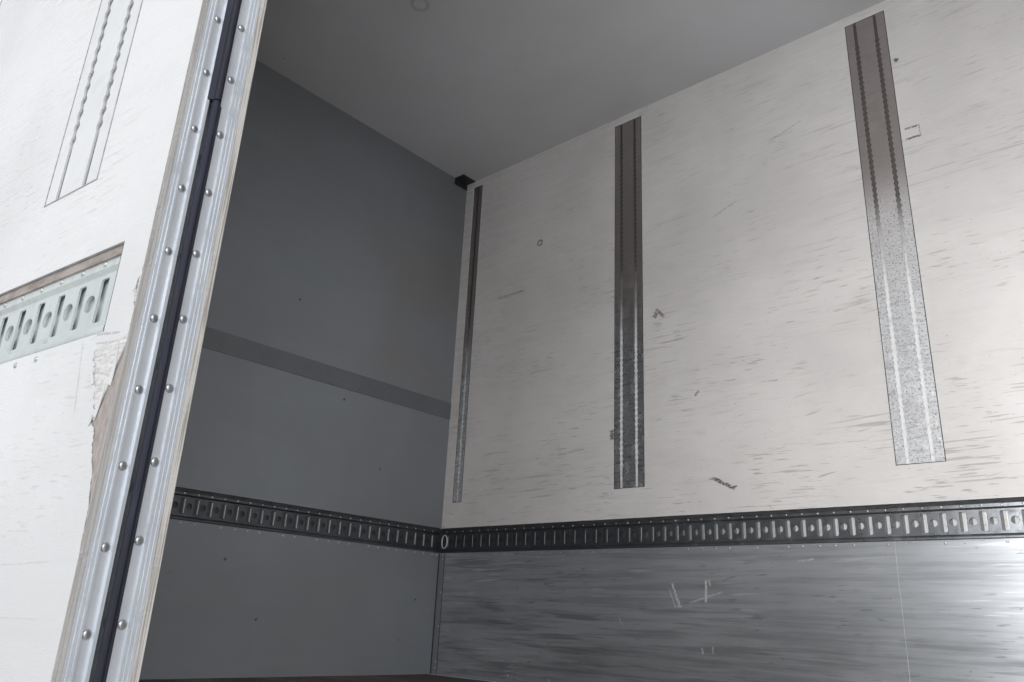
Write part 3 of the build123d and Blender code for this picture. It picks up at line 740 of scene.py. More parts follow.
def seal_and_shadow_finish(name, light, dark):
    """Rough strip: painted shadow in the gaps of a rail, partly the brownish cut edge of a lining, and the
    colour of seals and joints.
    """
    made = Finish(name)
    lumps = made.streaked(30.0, 30.0, 90.0, 5.0)
    return made.done(
        lumps.band(0.35, 0.7).over(light, dark), 0.75, relief=made.relief(lumps, 0.0012, 0.7)
    )


def slot_places(start, end):
    """Number of slots between two ends of a rail, and the place of the first."""
    count = int((end - start - slot_pitch) / slot_pitch) + 1
    return count, start + (end - start - (count - 1) * slot_pitch) / 2


right_first_slot = slot_places(0.0, wall_length)[1]
dark_scuff = paint(0.22, 0.195, 0.175)
cream_edge = (paint(0.74, 0.72, 0.69), paint(0.42, 0.385, 0.355))
grey_edge = (paint(0.60, 0.59, 0.575), paint(0.45, 0.435, 0.42))
right_lining = lining_finish(
    "right_lining", right_space, paint(0.765, 0.742, 0.728), dark_scuff, cream_edge, 1.0, 1.0,
    right_wall_strokes, right_wall_rings,
)
left_lining = lining_finish(
    "left_lining", left_space, paint(0.78, 0.785, 0.775), dark_scuff, cream_edge, 0.8, 0.8
)
open_leaf_lining = lining_finish(
    "open_leaf_lining", leaf_space("leaf_1"), paint(0.765, 0.77, 0.775), paint(0.36, 0.34, 0.32),
    grey_edge, 0.55, 0.45, leaf_strokes, torn=torn_lining,
)
front_lining = front_finish()
roof_skin = roof_finish()
frame_paint = skin_finish("frame_paint", paint(0.74, 0.75, 0.76), grey(0.45))
kick_metal = kick_finish()
strip_metal = metal_finish(
    "strip_metal", paint(0.165, 0.174, 0.190), paint(0.138, 0.144, 0.156), 0.45, (3.0, 40.0, 120.0),
    dirt=0.15, metallic=0.25,
)
# Rail steel of the room, darkened towards the front corner as painted shade
inside_rail = metal_finish(
    "inside_rail", paint(0.36, 0.375, 0.395), paint(0.17, 0.18, 0.195), 0.28, (60, 60, 8),
    right_space, spangle=0.2, dirt=0.5, metallic=0.9, painted_shade=(0, 2.2, 0.9, paint(0.085, 0.092, 0.104)),
)
# Rail steel of the front wall: a darker copy of the room's rail, as painted shade
front_rail = metal_finish(
    "front_rail", paint(0.135, 0.142, 0.155), paint(0.062, 0.066, 0.076), 0.34, (60, 60, 8),
    dirt=0.5, metallic=0.85,
)
# Bright worn steel of the corner ring; on the slot lips it is a painted highlight
worn_steel = metal_finish(
    "worn_steel", paint(0.76, 0.77, 0.79), paint(0.56, 0.57, 0.59), 0.35, (40, 40, 30),
    dirt=0.3, metallic=0.4,
)
leaf_rail = metal_finish(
    "leaf_rail", paint(0.70, 0.745, 0.735), paint(0.52, 0.57, 0.56), 0.40, (60, 60, 8),
    spangle=0.2, dirt=0.3, metallic=0.35,
)
# Track sheets: painted shade towards the top and a painted pale sheen low down towards the rear
inside_track = metal_finish(
    "inside_track", paint(0.93, 0.94, 0.96), paint(0.60, 0.61, 0.62), 0.24, (90, 60, 14),
    right_space, dirt=0.25, metallic=0.92, rubbed=0.5,
    painted_shade=(2, 1.35, 1.95, paint(0.40, 0.355, 0.34)), sheen_span=track_sheen_span,
)
leaf_track = metal_finish(
    "leaf_track", paint(0.80, 0.805, 0.81), paint(0.66, 0.67, 0.68), 0.42, (90, 60, 6),
    dirt=0.12, metallic=0.15,
)
profile_metal = metal_finish(
    "profile_metal", paint(0.84, 0.88, 0.93), paint(0.62, 0.66, 0.71), 0.36, (160, 160, 3),
    dirt=0.18, metallic=0.30,
)
zinc = metal_finish(
    "zinc", paint(0.66, 0.67, 0.69), paint(0.48, 0.49, 0.50), 0.36, (30, 30, 30), spangle=0.2
)
galvanised = metal_finish(
    "galvanised", paint(0.52, 0.54, 0.55), paint(0.36, 0.37, 0.38), 0.46, (20, 20, 20), spangle=0.45
)
deck_board = deck_finish()
hinge_rubber = rubber_finish()
lamp_lens = lens_finish()
rail_half_lit = (right_first_slot - slot_width * 0.1, slot_pitch / 2)
# Backings: painted shade towards the top behind the tracks, and towards the front corner behind the rails
track_backing = backing_finish(
    "track_backing", 2, (1.45, 1.95), grey(0.78), paint(0.10, 0.088, 0.082)
)
rail_backing = backing_finish(
    "rail_backing", 0, (1.0, 2.1), paint(0.040, 0.042, 0.046), paint(0.62, 0.62, 0.615), rail_half_lit
)
leaf_backing = backing_finish(
    "leaf_backing", 2, (0.9, 1.3), paint(0.40, 0.405, 0.41), paint(0.12, 0.12, 0.125)
)
# Strips over the rails' tops are painted shadow of the gap; the pale one is also the leaf lining's
# brownish cut edge, the dark one also seals and joints
pale_packing = seal_and_shadow_finish("pale_packing", paint(0.40, 0.36, 0.335), paint(0.24, 0.205, 0.185))
grey_packing = seal_and_shadow_finish("grey_packing", paint(0.42, 0.40, 0.40), paint(0.25, 0.24, 0.24))
dark_packing = seal_and_shadow_finish("dark_packing", paint(0.045, 0.047, 0.050), paint(0.020, 0.021, 0.023))


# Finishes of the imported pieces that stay

node_finish = {
    "right_wall": right_lining,
    "left_fixed_panel": left_lining,
    "front_wall": front_lining,
    "right_kick_plates": kick_metal,
    "front_strip": strip_metal,
    "floor_deck": deck_board,
    "bearers": galvanised,
    "cross_members": galvanised,
    "sills": profile_metal,
    "front_corner_posts": profile_metal,
    "roof_rails": profile_metal,
    "roof_front_rail": profile_metal,
    "roof_panel": roof_skin,
    "left_hinge_edge": profile_metal,
    "side_hinges": hinge_rubber,
    "side_pillar": frame_paint,
    "rear_post_left": frame_paint,
    "rear_post_right": frame_paint,
    "rear_header": frame_paint,
    "rear_sill": frame_paint,
    "rear_hinge_brackets": zinc,
    "lock_keepers": zinc,
    "marker_lamps": lamp_lens,
}
for leaf in leaf_names:
    node_finish[f"{leaf}_panel"] = open_leaf_lining if leaf == "leaf_1" else left_lining
    node_finish[f"{leaf}_frame"] = profile_metal
    node_finish[f"{leaf}_lock_gear"] = zinc
    node_finish[f"{leaf}_knuckle"] = hinge_rubber
for door in ("left", "right"):
    node_finish[f"rear_door_{door}_panel"] = frame_paint
    node_finish[f"rear_door_{door}_fittings"] = zinc

for node_name, finish in node_finish.items():
    data = frame["nodes"][node_name].data
    data.materials.clear()
    data.materials.append(finish)


# Making pieces; distances at which points count as one or as lying on a line

same_point = 1e-6
on_line = 1e-7


def placed(name, data):
    """A new object with its data, linked to the scene."""
    made = bpy.data.objects.new(name, data)
    bpy.context.scene.collection.objects.link(made)
    return made


def as_mesh(name, shape):
    """The plain mesh of a finished bmesh, which is freed."""
    mesh = bpy.data.meshes.new(name)
    shape.to_mesh(mesh)
    shape.free()
    return mesh


def piece(name, body, shape, finish, space, smooth=False, replaced=()):
    """Turn a bmesh made in a wall's space into a closed, finished object that rides on a body."""
    bmesh.ops.remove_doubles(shape, verts=shape.verts, dist=same_point)
    bmesh.ops.recalc_face_normals(shape, faces=shape.faces)
    mesh = as_mesh(name, shape)
    mesh.transform(space)
    mesh.materials.append(finish)
    mesh.shade_flat()
    if smooth:
        mesh.shade_smooth()
    made = placed(name, mesh)
    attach(made, body)
    if replaced:
        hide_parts(*replaced)


def loft(shape, rings, closed=False):
    """Join rings of points by faces; the ends get caps unless the last ring meets the first."""
    loops = [[shape.verts.new(point) for point in ring] for ring in rings]
    pairs = list(zip(loops, loops[1:]))
    if closed:
        pairs.append((loops[-1], loops[0]))
    for first, second in pairs:
        for i in range(len(first)):
            j = (i + 1) % len(first)
            shape.faces.new((first[i], first[j], second[j], second[i]))
    if not closed:
        shape.faces.new(loops[0])
        shape.faces.new(reversed(loops[-1]))


def bar(shape, section, start, end):
    """A closed bar along U whose section is a list of depth and height pairs."""
    loft(shape, [[(u, depth, height) for depth, height in section] for u in (start, end)])


def block(shape, u, depth, height):
    """A closed block between two planes in each direction."""
    (near, far), (low, high) = depth, height
    bar(shape, [(near, low), (far, low), (far, high), (near, high)], *u)


def plate(shape, outline, holes, near, far, joined):
    """A flat plate with holes between two depths; its edges on the joined lines stay open."""
    loops = [outline, *holes]
    triangles = tessellate_polygon([[Vector((u, w, 0.0)) for u, w in loop] for loop in loops])
    sides = [
        [shape.verts.new((u, depth, w)) for loop in loops for u, w in loop] for depth in (near, far)
    ]
    for side in sides:
        for triangle in triangles:
            shape.faces.new([side[i] for i in triangle])
    first = 0
    for loop in loops:
        for i in range(len(loop)):
            j = (i + 1) % len(loop)
            if loop is outline and on_joined_line(loop[i], loop[j], *joined):
                continue
            a, b = first + i, first + j
            shape.faces.new((sides[0][a], sides[0][b], sides[1][b], sides[1][a]))
        first += len(loop)


def on_joined_line(a, b, axis, lines):
    """True if both points lie on one of the lines where cells join."""
    return any(max(abs(a[axis] - line), abs(b[axis] - line)) < on_line for line in lines)


def rounded_slot(u, w, width, height, corner):
    """Outline of an upright slot with rounded corners."""
    points = []
    for turn, (su, sw) in enumerate(((1, 1), (-1, 1), (-1, -1), (1, -1))):
        centre = (u + su * (width / 2 - corner), w + sw * (height / 2 - corner))
        for step in range(3):
            angle = (turn + step / 2) * math.pi / 2
            points.append((centre[0] + corner * math.cos(angle), centre[1] + corner * math.sin(angle)))
    return points


def circle(u, w, radius, count=16):
    """Outline of a round hole."""
    steps = (2 * math.pi * i / count for i in range(count))
    return [(u + radius * math.cos(a), w + radius * math.sin(a)) for a in steps]


# Geometry Nodes: rows of cells, and fasteners on marked points

weld_distance = 1e-5


def node_group(name, inputs):
    """An empty geometry tree with named inputs; returns it with its inputs as sockets."""
    tree = bpy.data.node_groups.new(name, "GeometryNodeTree")
    for label, kind in inputs:
        tree.interface.new_socket(label, in_out="INPUT", socket_type=kind)
    tree.interface.new_socket("Geometry", in_out="OUTPUT", socket_type="NodeSocketGeometry")
    group = tree.nodes.new("NodeGroupInput")
    return tree, {label: Socket(tree, group.outputs[label]) for label, _ in inputs}


def close_group(tree, geometry):
    """End a geometry tree with what it makes."""
    ending = tree.nodes.new("NodeGroupOutput")
    tree.links.new(geometry.socket, ending.inputs[0])
    return tree


def row_tree():
    """Copies of a cell in a straight row, welded where they meet."""
    tree, given = node_group(
        "row_of_cells",
        (("Cell", "NodeSocketGeometry"), ("Count", "NodeSocketInt"), ("Step", "NodeSocketVector")),
    )
    start = Socket(tree)
    line = start.node("GeometryNodeMeshLine", {"Count": given["Count"], "Offset": given["Step"]})
    copies = start.node("GeometryNodeInstanceOnPoints", {"Points": line, "Instance": given["Cell"]})
    real = start.node("GeometryNodeRealizeInstances", {"Geometry": copies})
    welded = start.node("GeometryNodeMergeByDistance", {"Geometry": real, "Distance": weld_distance})
    return close_group(tree, welded)


def fastener_tree():
    """One fastener on every point, its foot turned to the point's facing."""
    tree, given = node_group(
        "fasteners_on_points",
        (
            ("Points", "NodeSocketGeometry"),
            ("Fastener", "NodeSocketObject"),
            ("Finish", "NodeSocketMaterial"),
        ),
    )
    start = Socket(tree)
    facing = start.node(
        "GeometryNodeInputNamedAttribute", {"Name": "facing"}, {"data_type": "FLOAT_VECTOR"}
    )
    turned = start.node("FunctionNodeAlignRotationToVector", {"Vector": facing}, {"axis": "Z"})
    head = start.node("GeometryNodeObjectInfo", {"Object": given["Fastener"]}, out="Geometry")
    copies = start.node(
        "GeometryNodeInstanceOnPoints", {"Points": given["Points"], "Instance": head, "Rotation": turned}
    )
    real = start.node("GeometryNodeRealizeInstances", {"Geometry": copies})
    finished = start.node("GeometryNodeSetMaterial", {"Geometry": real, "Material": given["Finish"]})
    return close_group(tree, finished)


row_of_cells = row_tree()
fasteners_on_points = fastener_tree()


def grown(mesh, tree, **values):
    """Run a geometry tree on a mesh and return the plain mesh that it makes."""
    holder = placed("holder", mesh)
    modifier = holder.modifiers.new("grow", "NODES")
    modifier.node_group = tree
    for item in tree.interface.items_tree:
        if item.in_out == "INPUT" and item.name in values:
            modifier[item.identifier] = values[item.name]
    graph = bpy.context.evaluated_depsgraph_get()
    plain = bpy.data.meshes.new_from_object(holder.evaluated_get(graph), depsgraph=graph)
    holder.modifiers.remove(modifier)
    bpy.data.objects.remove(holder)
    return plain


def add_row(shape, cell, count, step):
    """Add a row of copies of a cell to a shape."""
    row = grown(as_mesh("cell", cell), row_of_cells, Count=count, Step=step)
    shape.from_mesh(row)
    bpy.data.meshes.remove(row)


# Lashing rails and deck tracks


def add_rail(shape, start, end):
    """Lashing rail: lower bead, slotted plate with round eyes and upper flange."""
    count, first = slot_places(start, end)
    cell_start = first - slot_pitch / 4
    low, high = rail_base + plate_bottom, rail_base + plate_top
    bead_arc = [
        (bead_reach * (1 - math.sin(turn)), rail_base + bead_height - bead_height * math.cos(turn))
        for turn in (math.pi * i / 8 for i in range(9))
    ]
    lower = [
        (rail_seat, rail_base),
        *bead_arc,
        (plate_face, low),
        (plate_back, low),
        (plate_back, low - rail_sheet),
        (plate_face, rail_base + 2 * bead_height),
        (rail_seat, rail_base + 2 * bead_height),
    ]
    bar(shape, lower, start, end)
    top = rail_base + rail_top
    flange_back = flange_depth + rail_sheet
    upper = [
        (plate_face, high),
        (flange_depth, high + rail_step),
        (flange_depth, top - rail_edge_round),
        (flange_depth + rail_edge_round, top),
        (rail_seat, top),
        (rail_seat, top - rail_sheet),
        (flange_back, top - rail_sheet),
        (flange_back, high + rail_step * 1.25),
        (plate_back, high + rail_step * 0.25),
        (plate_back, high),
    ]
    bar(shape, upper, start, end)
    cell = bmesh.new()
    outline = [(0, low), (slot_pitch, low), (slot_pitch, high), (0, high)]
    holes = [
        rounded_slot(slot_pitch / 4, slot_middle, slot_width, slot_height, slot_corner),
        circle(3 * slot_pitch / 4, slot_middle, eye_radius),
    ]
    plate(cell, outline, holes, plate_face, plate_back, (0, (0, slot_pitch)))
    bmesh.ops.translate(cell, verts=cell.verts, vec=(cell_start, 0, 0))
    add_row(shape, cell, count - 1, (slot_pitch, 0, 0))
    plain = [(start, low), (cell_start, low), (cell_start, high), (start, high)]
    plate(shape, plain, [], plate_face, plate_back, (0, (cell_start,)))
    last = cell_start + (count - 1) * slot_pitch
    closing = [(last, low), (end, low), (end, high), (last, high)]
    hole = rounded_slot(last + slot_pitch / 4, slot_middle, slot_width, slot_height, slot_corner)
    plate(shape, closing, [hole], plate_face, plate_back, (0, (last,)))


def add_slot_lips(shape, start, end):
    """A folded lip along one side of every slot, coloured bright as a painted highlight."""
    count, first = slot_places(start, end)
    edge = first + slot_width / 2
    half = slot_height / 2 - slot_corner
    cell = bmesh.new()
    block(
        cell,
        (edge - lip_sheet, edge + lip_overlap),
        (plate_face - lip_overlap, lip_depth),
        (slot_middle - half, slot_middle + half),
    )
    add_row(shape, cell, count, (slot_pitch, 0, 0))


def scalloped_edge(edge, inward, height):
    """Edge of a track sheet over one pitch, with a round bite towards inward."""
    half = math.sqrt(scallop_radius**2 - groove_half**2)
    reach = math.asin(half / scallop_radius)
    centre = edge - inward * groove_half
    bite = [
        (
            centre + inward * scallop_radius * math.cos(angle),
            height + scallop_pitch / 2 + scallop_radius * math.sin(angle),
        )
        for angle in (reach * (i - 3) / 3 for i in range(7))
    ]
    return [(edge, height), *bite, (edge, height + scallop_pitch)]


def add_band(shape, left, right, scallops):
    """One band of a track sheet; scallops says which of its two edges are cut."""
    count = int((track_high - track_low - scallop_from_bottom - scallop_from_top) / scallop_pitch)
    first = track_low + scallop_from_bottom
    last = first + count * scallop_pitch
    cell = bmesh.new()
    edges = [
        scalloped_edge(edge, inward, first) if cut else [(edge, first), (edge, first + scallop_pitch)]
        for edge, inward, cut in ((left, 1, scallops[0]), (right, -1, scallops[1]))
    ]
    plate(cell, edges[1] + edges[0][::-1], [], 0.0, track_sheet, (1, (first, first + scallop_pitch)))
    add_row(shape, cell, count, (0, 0, scallop_pitch))
    for bottom, top, open_line in ((track_low, first, first), (last, track_high, last)):
        outline = [(left, bottom), (right, bottom), (right, top), (left, top)]
        plate(shape, outline, [], 0.0, track_sheet, (1, (open_line,)))


def add_track(shape, middle, width):
    """Deck track: bands of scalloped sheet with folded webs behind them."""
    half = width / 2 - track_edge_gap
    grooves = (-groove_offset, groove_offset) if width > 2 * groove_offset else (0.0,)
    edges = [-half] + [g + side * groove_half for g in grooves for side in (-1, 1)] + [half]
    bands = list(zip(edges[::2], edges[1::2]))
    for number, (left, right) in enumerate(bands):
        cut = (number > 0, number < len(bands) - 1)
        add_band(shape, middle + left, middle + right, cut)
        for web in (left + web_inset * cut[0], right - web_sheet - web_inset * cut[1]):
            first = middle + web
            block(shape, (first, first + web_sheet), (track_sheet, backing_depth), (track_low, track_high))


def add_edging(shape, middle, width):
    """Thin seal around a deck track."""
    outer, inner = edging_reach
    for edge, side in ((-width / 2, 1), (width / 2, -1)):
        across = (middle + edge + side * inner, middle + edge + side * outer)
        block(shape, across, edging_depth, (track_low, track_high))
    between = (middle - width / 2 + inner, middle + width / 2 - inner)
    for edge, side in ((track_low, 1), (track_high, -1)):
        block(shape, between, edging_depth, (edge + side * inner, edge + side * outer))


def add_backing(shape, middle, width):
    """Painted sheet behind a deck track."""
    half = width / 2 - backing_gap
    behind = (backing_depth, backing_depth + backing_sheet)
    block(shape, (middle - half, middle + half), behind, (track_low, track_high))


# What each wall carries: its rail and tracks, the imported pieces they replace, and their finishes
Wall = namedtuple(
    "Wall",
    "name body space rail_ends tracks rail_node track_node metal sheet backing packing slot_backing",
)
leaf_rail_ends = (leaf_rail_inset + rail_end_gap, leaf_width - leaf_rail_inset - rail_end_gap)
walls = (
    Wall(
        "right", "body_shell", right_space, (0.0, wall_length), right_tracks, "right_lashing_rail",
        "right_deck_tracks", inside_rail, inside_track, track_backing, dark_packing, rail_backing,
    ),
    Wall(
        "front", "body_shell", front_space, (0.0, 2 * inner_side), [], "front_lashing_rail",
        None, front_rail, None, None, dark_packing, rail_backing,
    ),
    Wall(
        "fixed", "body_shell", fixed_space, (leaf_rail_ends[0], fixed_length), fixed_tracks,
        "left_load_rails", None, inside_rail, leaf_track, leaf_backing, dark_packing, rail_backing,
    ),
    *(
        Wall(
            leaf, leaf, leaf_space(leaf), leaf_rail_ends, leaf_tracks, f"{leaf}_load_rails",
            None, leaf_rail, leaf_track, leaf_backing, pale_packing, leaf_rail,
        )
        for leaf in leaf_names
    ),
)


def wall_piece(wall, what, shape, finish, replaced=()):
    """A piece of one wall, made in the wall's own space."""
    piece(f"{wall.name}_{what}", wall.body, shape, finish, wall.space, replaced=replaced)


def dress_rail(wall):
    """Lashing rail of one wall with a strip of painted gap shadow over its top, its slot backing, slot
    lips coloured bright as painted highlights, and dark blocks of painted shadow in its end gaps.
    """
    rail, strip, behind = bmesh.new(), bmesh.new(), bmesh.new()
    add_rail(rail, *wall.rail_ends)
    wall_piece(wall, "slotted_rail", rail, wall.metal, (wall.rail_node,))
    # Strip over the rail's top: painted shadow of the gap above its flange
    strip_top = rail_base + rail_top + gap_shadow_over_rail
    strip_depth = (flange_depth - gap_shadow_reach, flange_depth)
    block(strip, wall.rail_ends, strip_depth, (strip_top - gap_shadow_height, strip_top))
    wall_piece(wall, "rail_packing", strip, wall.packing)
    behind_slots = (rail_base + slot_bottom / 2, rail_base + plate_top + slot_backing_over_plate)
    block(behind, wall.rail_ends, (rail_seat - slot_backing_sheet, rail_seat), behind_slots)
    wall_piece(wall, "slot_backing", behind, wall.slot_backing)
    if wall.name not in leaf_names:
        # Slot lips coloured bright: painted highlight
        lips = bmesh.new()
        add_slot_lips(lips, *wall.rail_ends)
        wall_piece(wall, "slot_lips", lips, worn_steel)
    if wall.name in leaf_names or wall.name == "fixed":
        # Dark blocks in the rail's end gaps: painted shadow
        end_shadows = bmesh.new()
        end_shadow_height = (rail_base + end_shadow_inset, rail_base + rail_top)
        for u in (wall.rail_ends[0] - rail_end_gap, wall.rail_ends[1]):
            block(end_shadows, (u, u + rail_end_gap), (end_shadow_face, rail_seat), end_shadow_height)
        wall_piece(wall, "rail_caps", end_shadows, dark_packing)


def dress_tracks(wall):
    """Deck tracks of one wall with their seals and backing."""
    sheets, backing, edging = bmesh.new(), bmesh.new(), bmesh.new()
    for middle, width in wall.tracks:
        add_track(sheets, middle, width)
        add_backing(backing, middle, width)
        add_edging(edging, middle, width)
    seal = dark_packing if wall.name == "right" else grey_packing
    wall_piece(wall, "track_edging", edging, seal)
    replaced = (wall.track_node,) if wall.track_node else ()
    wall_piece(wall, "track_sheets", sheets, wall.sheet, replaced)
    wall_piece(wall, "track_backing", backing, wall.backing)


for wall in walls:
    dress_rail(wall)
    if wall.tracks:
        dress_tracks(wall)


# Small pieces: corner fittings and the torn lining's slivers

sliver_sheet = 0.0007
sliver_clearance = 0.0004


def add_ring(shape, centre, radii, wire, count=28, sides=8):
    """Closed link of round wire that hangs flat along a wall."""
    rings = []
    for i in range(count):
        turn = 2 * math.pi * i / count
        out = Vector((math.cos(turn), 0.0, math.sin(turn)))
        middle = Vector(centre) + Vector((radii[0] * out.x, 0.0, radii[1] * out.z))
        rings.append(
            [
                middle + out * (wire * math.cos(a)) + Vector((0.0, wire * math.sin(a), 0.0))
                for a in (2 * math.pi * k / sides for k in range(sides))
            ]
        )
    loft(shape, rings, closed=True)


def add_sliver(shape, start, end, half_width, lift, steps=9):
    """Thin curled strip of torn lining between two places along and up a wall."""
    start, end = Vector(start), Vector(end)
    side = (end - start).orthogonal().normalized()
    rings = []
    for i in range(steps + 1):
        share = i / steps
        middle = start.lerp(end, share)
        half = half_width * (1.0 - share) ** 0.6 + sliver_clearance
        depth = -sliver_clearance - lift * share**1.6
        edges = (middle - side * half, middle + side * half)
        front_edge = [(edge.x, depth, edge.y) for edge in edges]
        back_edge = [(edge.x, depth - sliver_sheet, edge.y) for edge in reversed(edges)]
        rings.append(front_edge + back_edge)
    loft(shape, rings)


def corner_piece(name, slot, finish, *blocks):
    """A piece of blocks in the far corner, each by its spans in the right wall's space."""
    shape = bmesh.new()
    for spans in blocks:
        block(shape, *spans)
    piece(name, "body_shell", shape, finish, right_space)


# Lashing ring that hangs before the first slot, and the filler where the two rails meet
ring_centre = (0.026, 0.004, slot_middle)
ring_radii = (0.019, 0.034)
ring_wire = 0.0036
filler_spans = ((-0.016, 0.007), (-0.001, 0.017), (rail_base, rail_base + rail_top))

# Angle up the lower corner, with a dark joint along each side of it
angle_width = 0.040
angle_sheet = 0.0016
angle_height = (0.002, rail_base - 0.004)
joint_width = 0.0042
side_joint = (angle_width + 0.0005, angle_width + 0.0025)
side_joint_depth = (-0.0014, 0.0)

# Plate on the ceiling with a flange down the front wall
plate_low, plate_high = room_height - 0.004, room_height - 0.0004
plate_along = (0.002, 0.074)
plate_reach = (-0.105, -0.003)
plate_flange = (0.002, 0.0055)
plate_drop = 0.042

corner_ring = bmesh.new()
add_ring(corner_ring, ring_centre, ring_radii, ring_wire)
piece("corner_ring", "body_shell", corner_ring, worn_steel, right_space, smooth=True)
corner_piece("corner_filler", "hinge_rubber", dark_packing, filler_spans)
corner_piece(
    "corner_angle", "kick_aluminium", front_lining,
    ((0.0, angle_width), (-angle_sheet, 0.0), angle_height),
)
corner_piece(
    "corner_joint", "hinge_rubber", dark_packing,
    ((0.0, joint_width), (-angle_sheet - joint_width, -angle_sheet), angle_height),
    (side_joint, side_joint_depth, angle_height),
)
corner_piece(
    "ceiling_plate", "zinc_steel", inside_rail,
    (plate_along, plate_reach, (plate_low, plate_high)),
    (plate_flange, plate_reach, (room_height - plate_drop, plate_low)),
)

torn_slivers = (
    # start and end from the hinge edge and up, half width, lift
    ((0.036, 0.465), (0.018, 0.508), 0.0030, 0.004),
    ((0.018, 0.506), (0.001, 0.556), 0.0042, 0.008),
    ((0.046, 0.462), (0.030, 0.470), 0.0032, 0.005),
    ((0.058, 0.512), (0.066, 0.534), 0.0022, 0.003),
    ((0.009, 0.640), (0.002, 0.622), 0.0030, 0.004),
)
slivers = bmesh.new()
for start, end, half_width, lift in torn_slivers:
    foot, tip = ((leaf_width - from_hinge, up) for from_hinge, up in (start, end))
    add_sliver(slivers, foot, tip, half_width, lift)
piece("leaf_1_torn_slivers", "leaf_1", slivers, left_lining, leaf_space("leaf_1"))


# Fasteners


def turned_head(name, outline, sides):
    """A head turned from radius and height pairs, its foot in the plane it sits on."""
    shape = bmesh.new()
    turns = [2 * math.pi * i / sides for i in range(sides)]
    loft(shape, [[(r * math.cos(a), r * math.sin(a), h) for a in turns] for r, h in outline])
    bmesh.ops.recalc_face_normals(shape, faces=shape.faces)
    return placed(name, as_mesh(name, shape))


def dome_head(name, radius, height, sides=10):
    """A low round head."""
    shares = ((1.0, -0.2), (1.0, 0.25), (0.8, 0.7), (0.42, 0.95))
    return turned_head(name, [(radius * r, height * h) for r, h in shares], sides)


rivet_head = dome_head("rivet_head", 0.0058, 0.0030)
screw_head = dome_head("screw_head", 0.0042, 0.0020, 8)
bolt_head = turned_head("bolt_head", ((0.0085, -0.001), (0.0085, 0.0036), (0.0072, 0.0046)), 6)


def fasteners(name, body, head, places):
    """Zinc fasteners on places, each a point and the way its head looks."""
    mesh = bpy.data.meshes.new(name)
    mesh.from_pydata([tuple(point) for point, _ in places], [], [])
    facing = mesh.attributes.new("facing", "FLOAT_VECTOR", "POINT")
    facing.data.foreach_set("vector", [part for _, way in places for part in way])
    made = grown(mesh, fasteners_on_points, Fastener=head, Finish=zinc)
    made.name = name
    if head is bolt_head:
        made.shade_flat()
    else:
        made.shade_smooth()
    result = placed(name, made)
    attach(result, body)


def in_space(space, places):
    """Points and facings of a wall's own space, in the row frame."""
    turn = space.to_3x3()
    return [(space @ Vector(point), turn @ Vector(way)) for point, way in places]


def line_of(start, end, pitch, way):
    """Places from start to end, evenly spaced about a pitch apart, all facing one way."""
    start, end = Vector(start), Vector(end)
    count = max(1, round((end - start).length / pitch))
    return [(start.lerp(end, i / count), way) for i in range(count + 1)]


# Ways that heads look, and the rows of rivets: their pitch and their distance from the edges
to_room, outward = (0.0, -1.0, 0.0), (0.0, 1.0, 0.0)
outer_pitch = 0.150
edge_inset = 0.022
row_inset = 0.020
leaf_row_inset = 0.018
leaf_margin = 0.060
leaf_lock_margin = 0.160
wall_margin = 0.090
sill_row = -0.022


def skin_row(start, end):
    """Rivets on the outer skin between two places, each along and up a wall."""
    (first, low), (last, high) = start, end
    return line_of((first, wall_thickness, low), (last, wall_thickness, high), outer_pitch, outward)


def upright_rows(places, low, high):
    """Rivets up the outer skin at places along a wall."""
    return sum((skin_row((u, low), (u, high)) for u in places), [])


def level_rows(heights, first, last):
    """Rivets along the outer skin at heights over the floor."""
    return sum((skin_row((first, w), (last, w)) for w in heights), [])


def hinge_row(u, low, high, toward):
    """Rivets up the channel of a hinge end face, as many as fit at their pitch."""
    count = int((high - low) / rivet_pitch)
    top = low + count * rivet_pitch
    return line_of((u, channel_middle, low), (u, channel_middle, top), rivet_pitch, (toward, 0.0, 0.0))


def rail_screws(wall):
    """Screws on the rail's flange, and most of a row under its bead."""
    count, first = slot_places(*wall.rail_ends)
    on_flange = [
        ((first + i * slot_pitch, flange_depth, rail_base + flange_screw_height), to_room)
        for i in range(count)
    ]
    below = [
        ((first + i * slot_pitch + draw.uniform(-wander, wander), 0.0, rail_base - under_rail), to_room)
        for i in range(count)
        if draw.random() < share_kept
    ]
    fasteners(f"{wall.name}_rail_screws", wall.body, screw_head, in_space(wall.space, on_flange + below))


under_rail = 0.010
share_kept = 0.72
wander = 0.003
draw = random.Random(11)
for wall in walls:
    rail_screws(wall)

leaf_low, leaf_high = (corner.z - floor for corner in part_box("leaf_2_panel"))
for name in leaf_names:
    hinge_side, toward = (leaf_width, 1.0) if name in forward_leaves else (0.0, -1.0)
    places = hinge_row(
        hinge_side - toward * channel_depth, leaf_low + leaf_rivet_start, leaf_high, toward
    )
    places += upright_rows(
        (edge_inset, leaf_width - edge_inset), leaf_low + leaf_margin, leaf_high - leaf_margin
    )
    places += level_rows(
        (leaf_low + leaf_row_inset, leaf_high - leaf_row_inset), leaf_margin, leaf_width - leaf_lock_margin
    )
    fasteners(f"{name}_rivets", name, rivet_head, in_space(leaf_space(name), places))

row_heights = (row_inset, room_height - row_inset)
row_ends = (wall_margin, room_height - wall_margin)
fixed_rows = hinge_row(channel_depth, fixed_rivet_start, room_height, -1.0)
fixed_rows += upright_rows((edge_inset, fixed_length - edge_inset), *row_ends)
fixed_rows += level_rows(row_heights, wall_margin, fixed_length - wall_margin)
right_rows = upright_rows((edge_inset, wall_length - edge_inset), *row_ends)
right_rows += level_rows((sill_row, *row_heights), wall_margin, wall_length - wall_margin)
sill_rows = level_rows((sill_row,), wall_margin, wall_length - wall_margin)

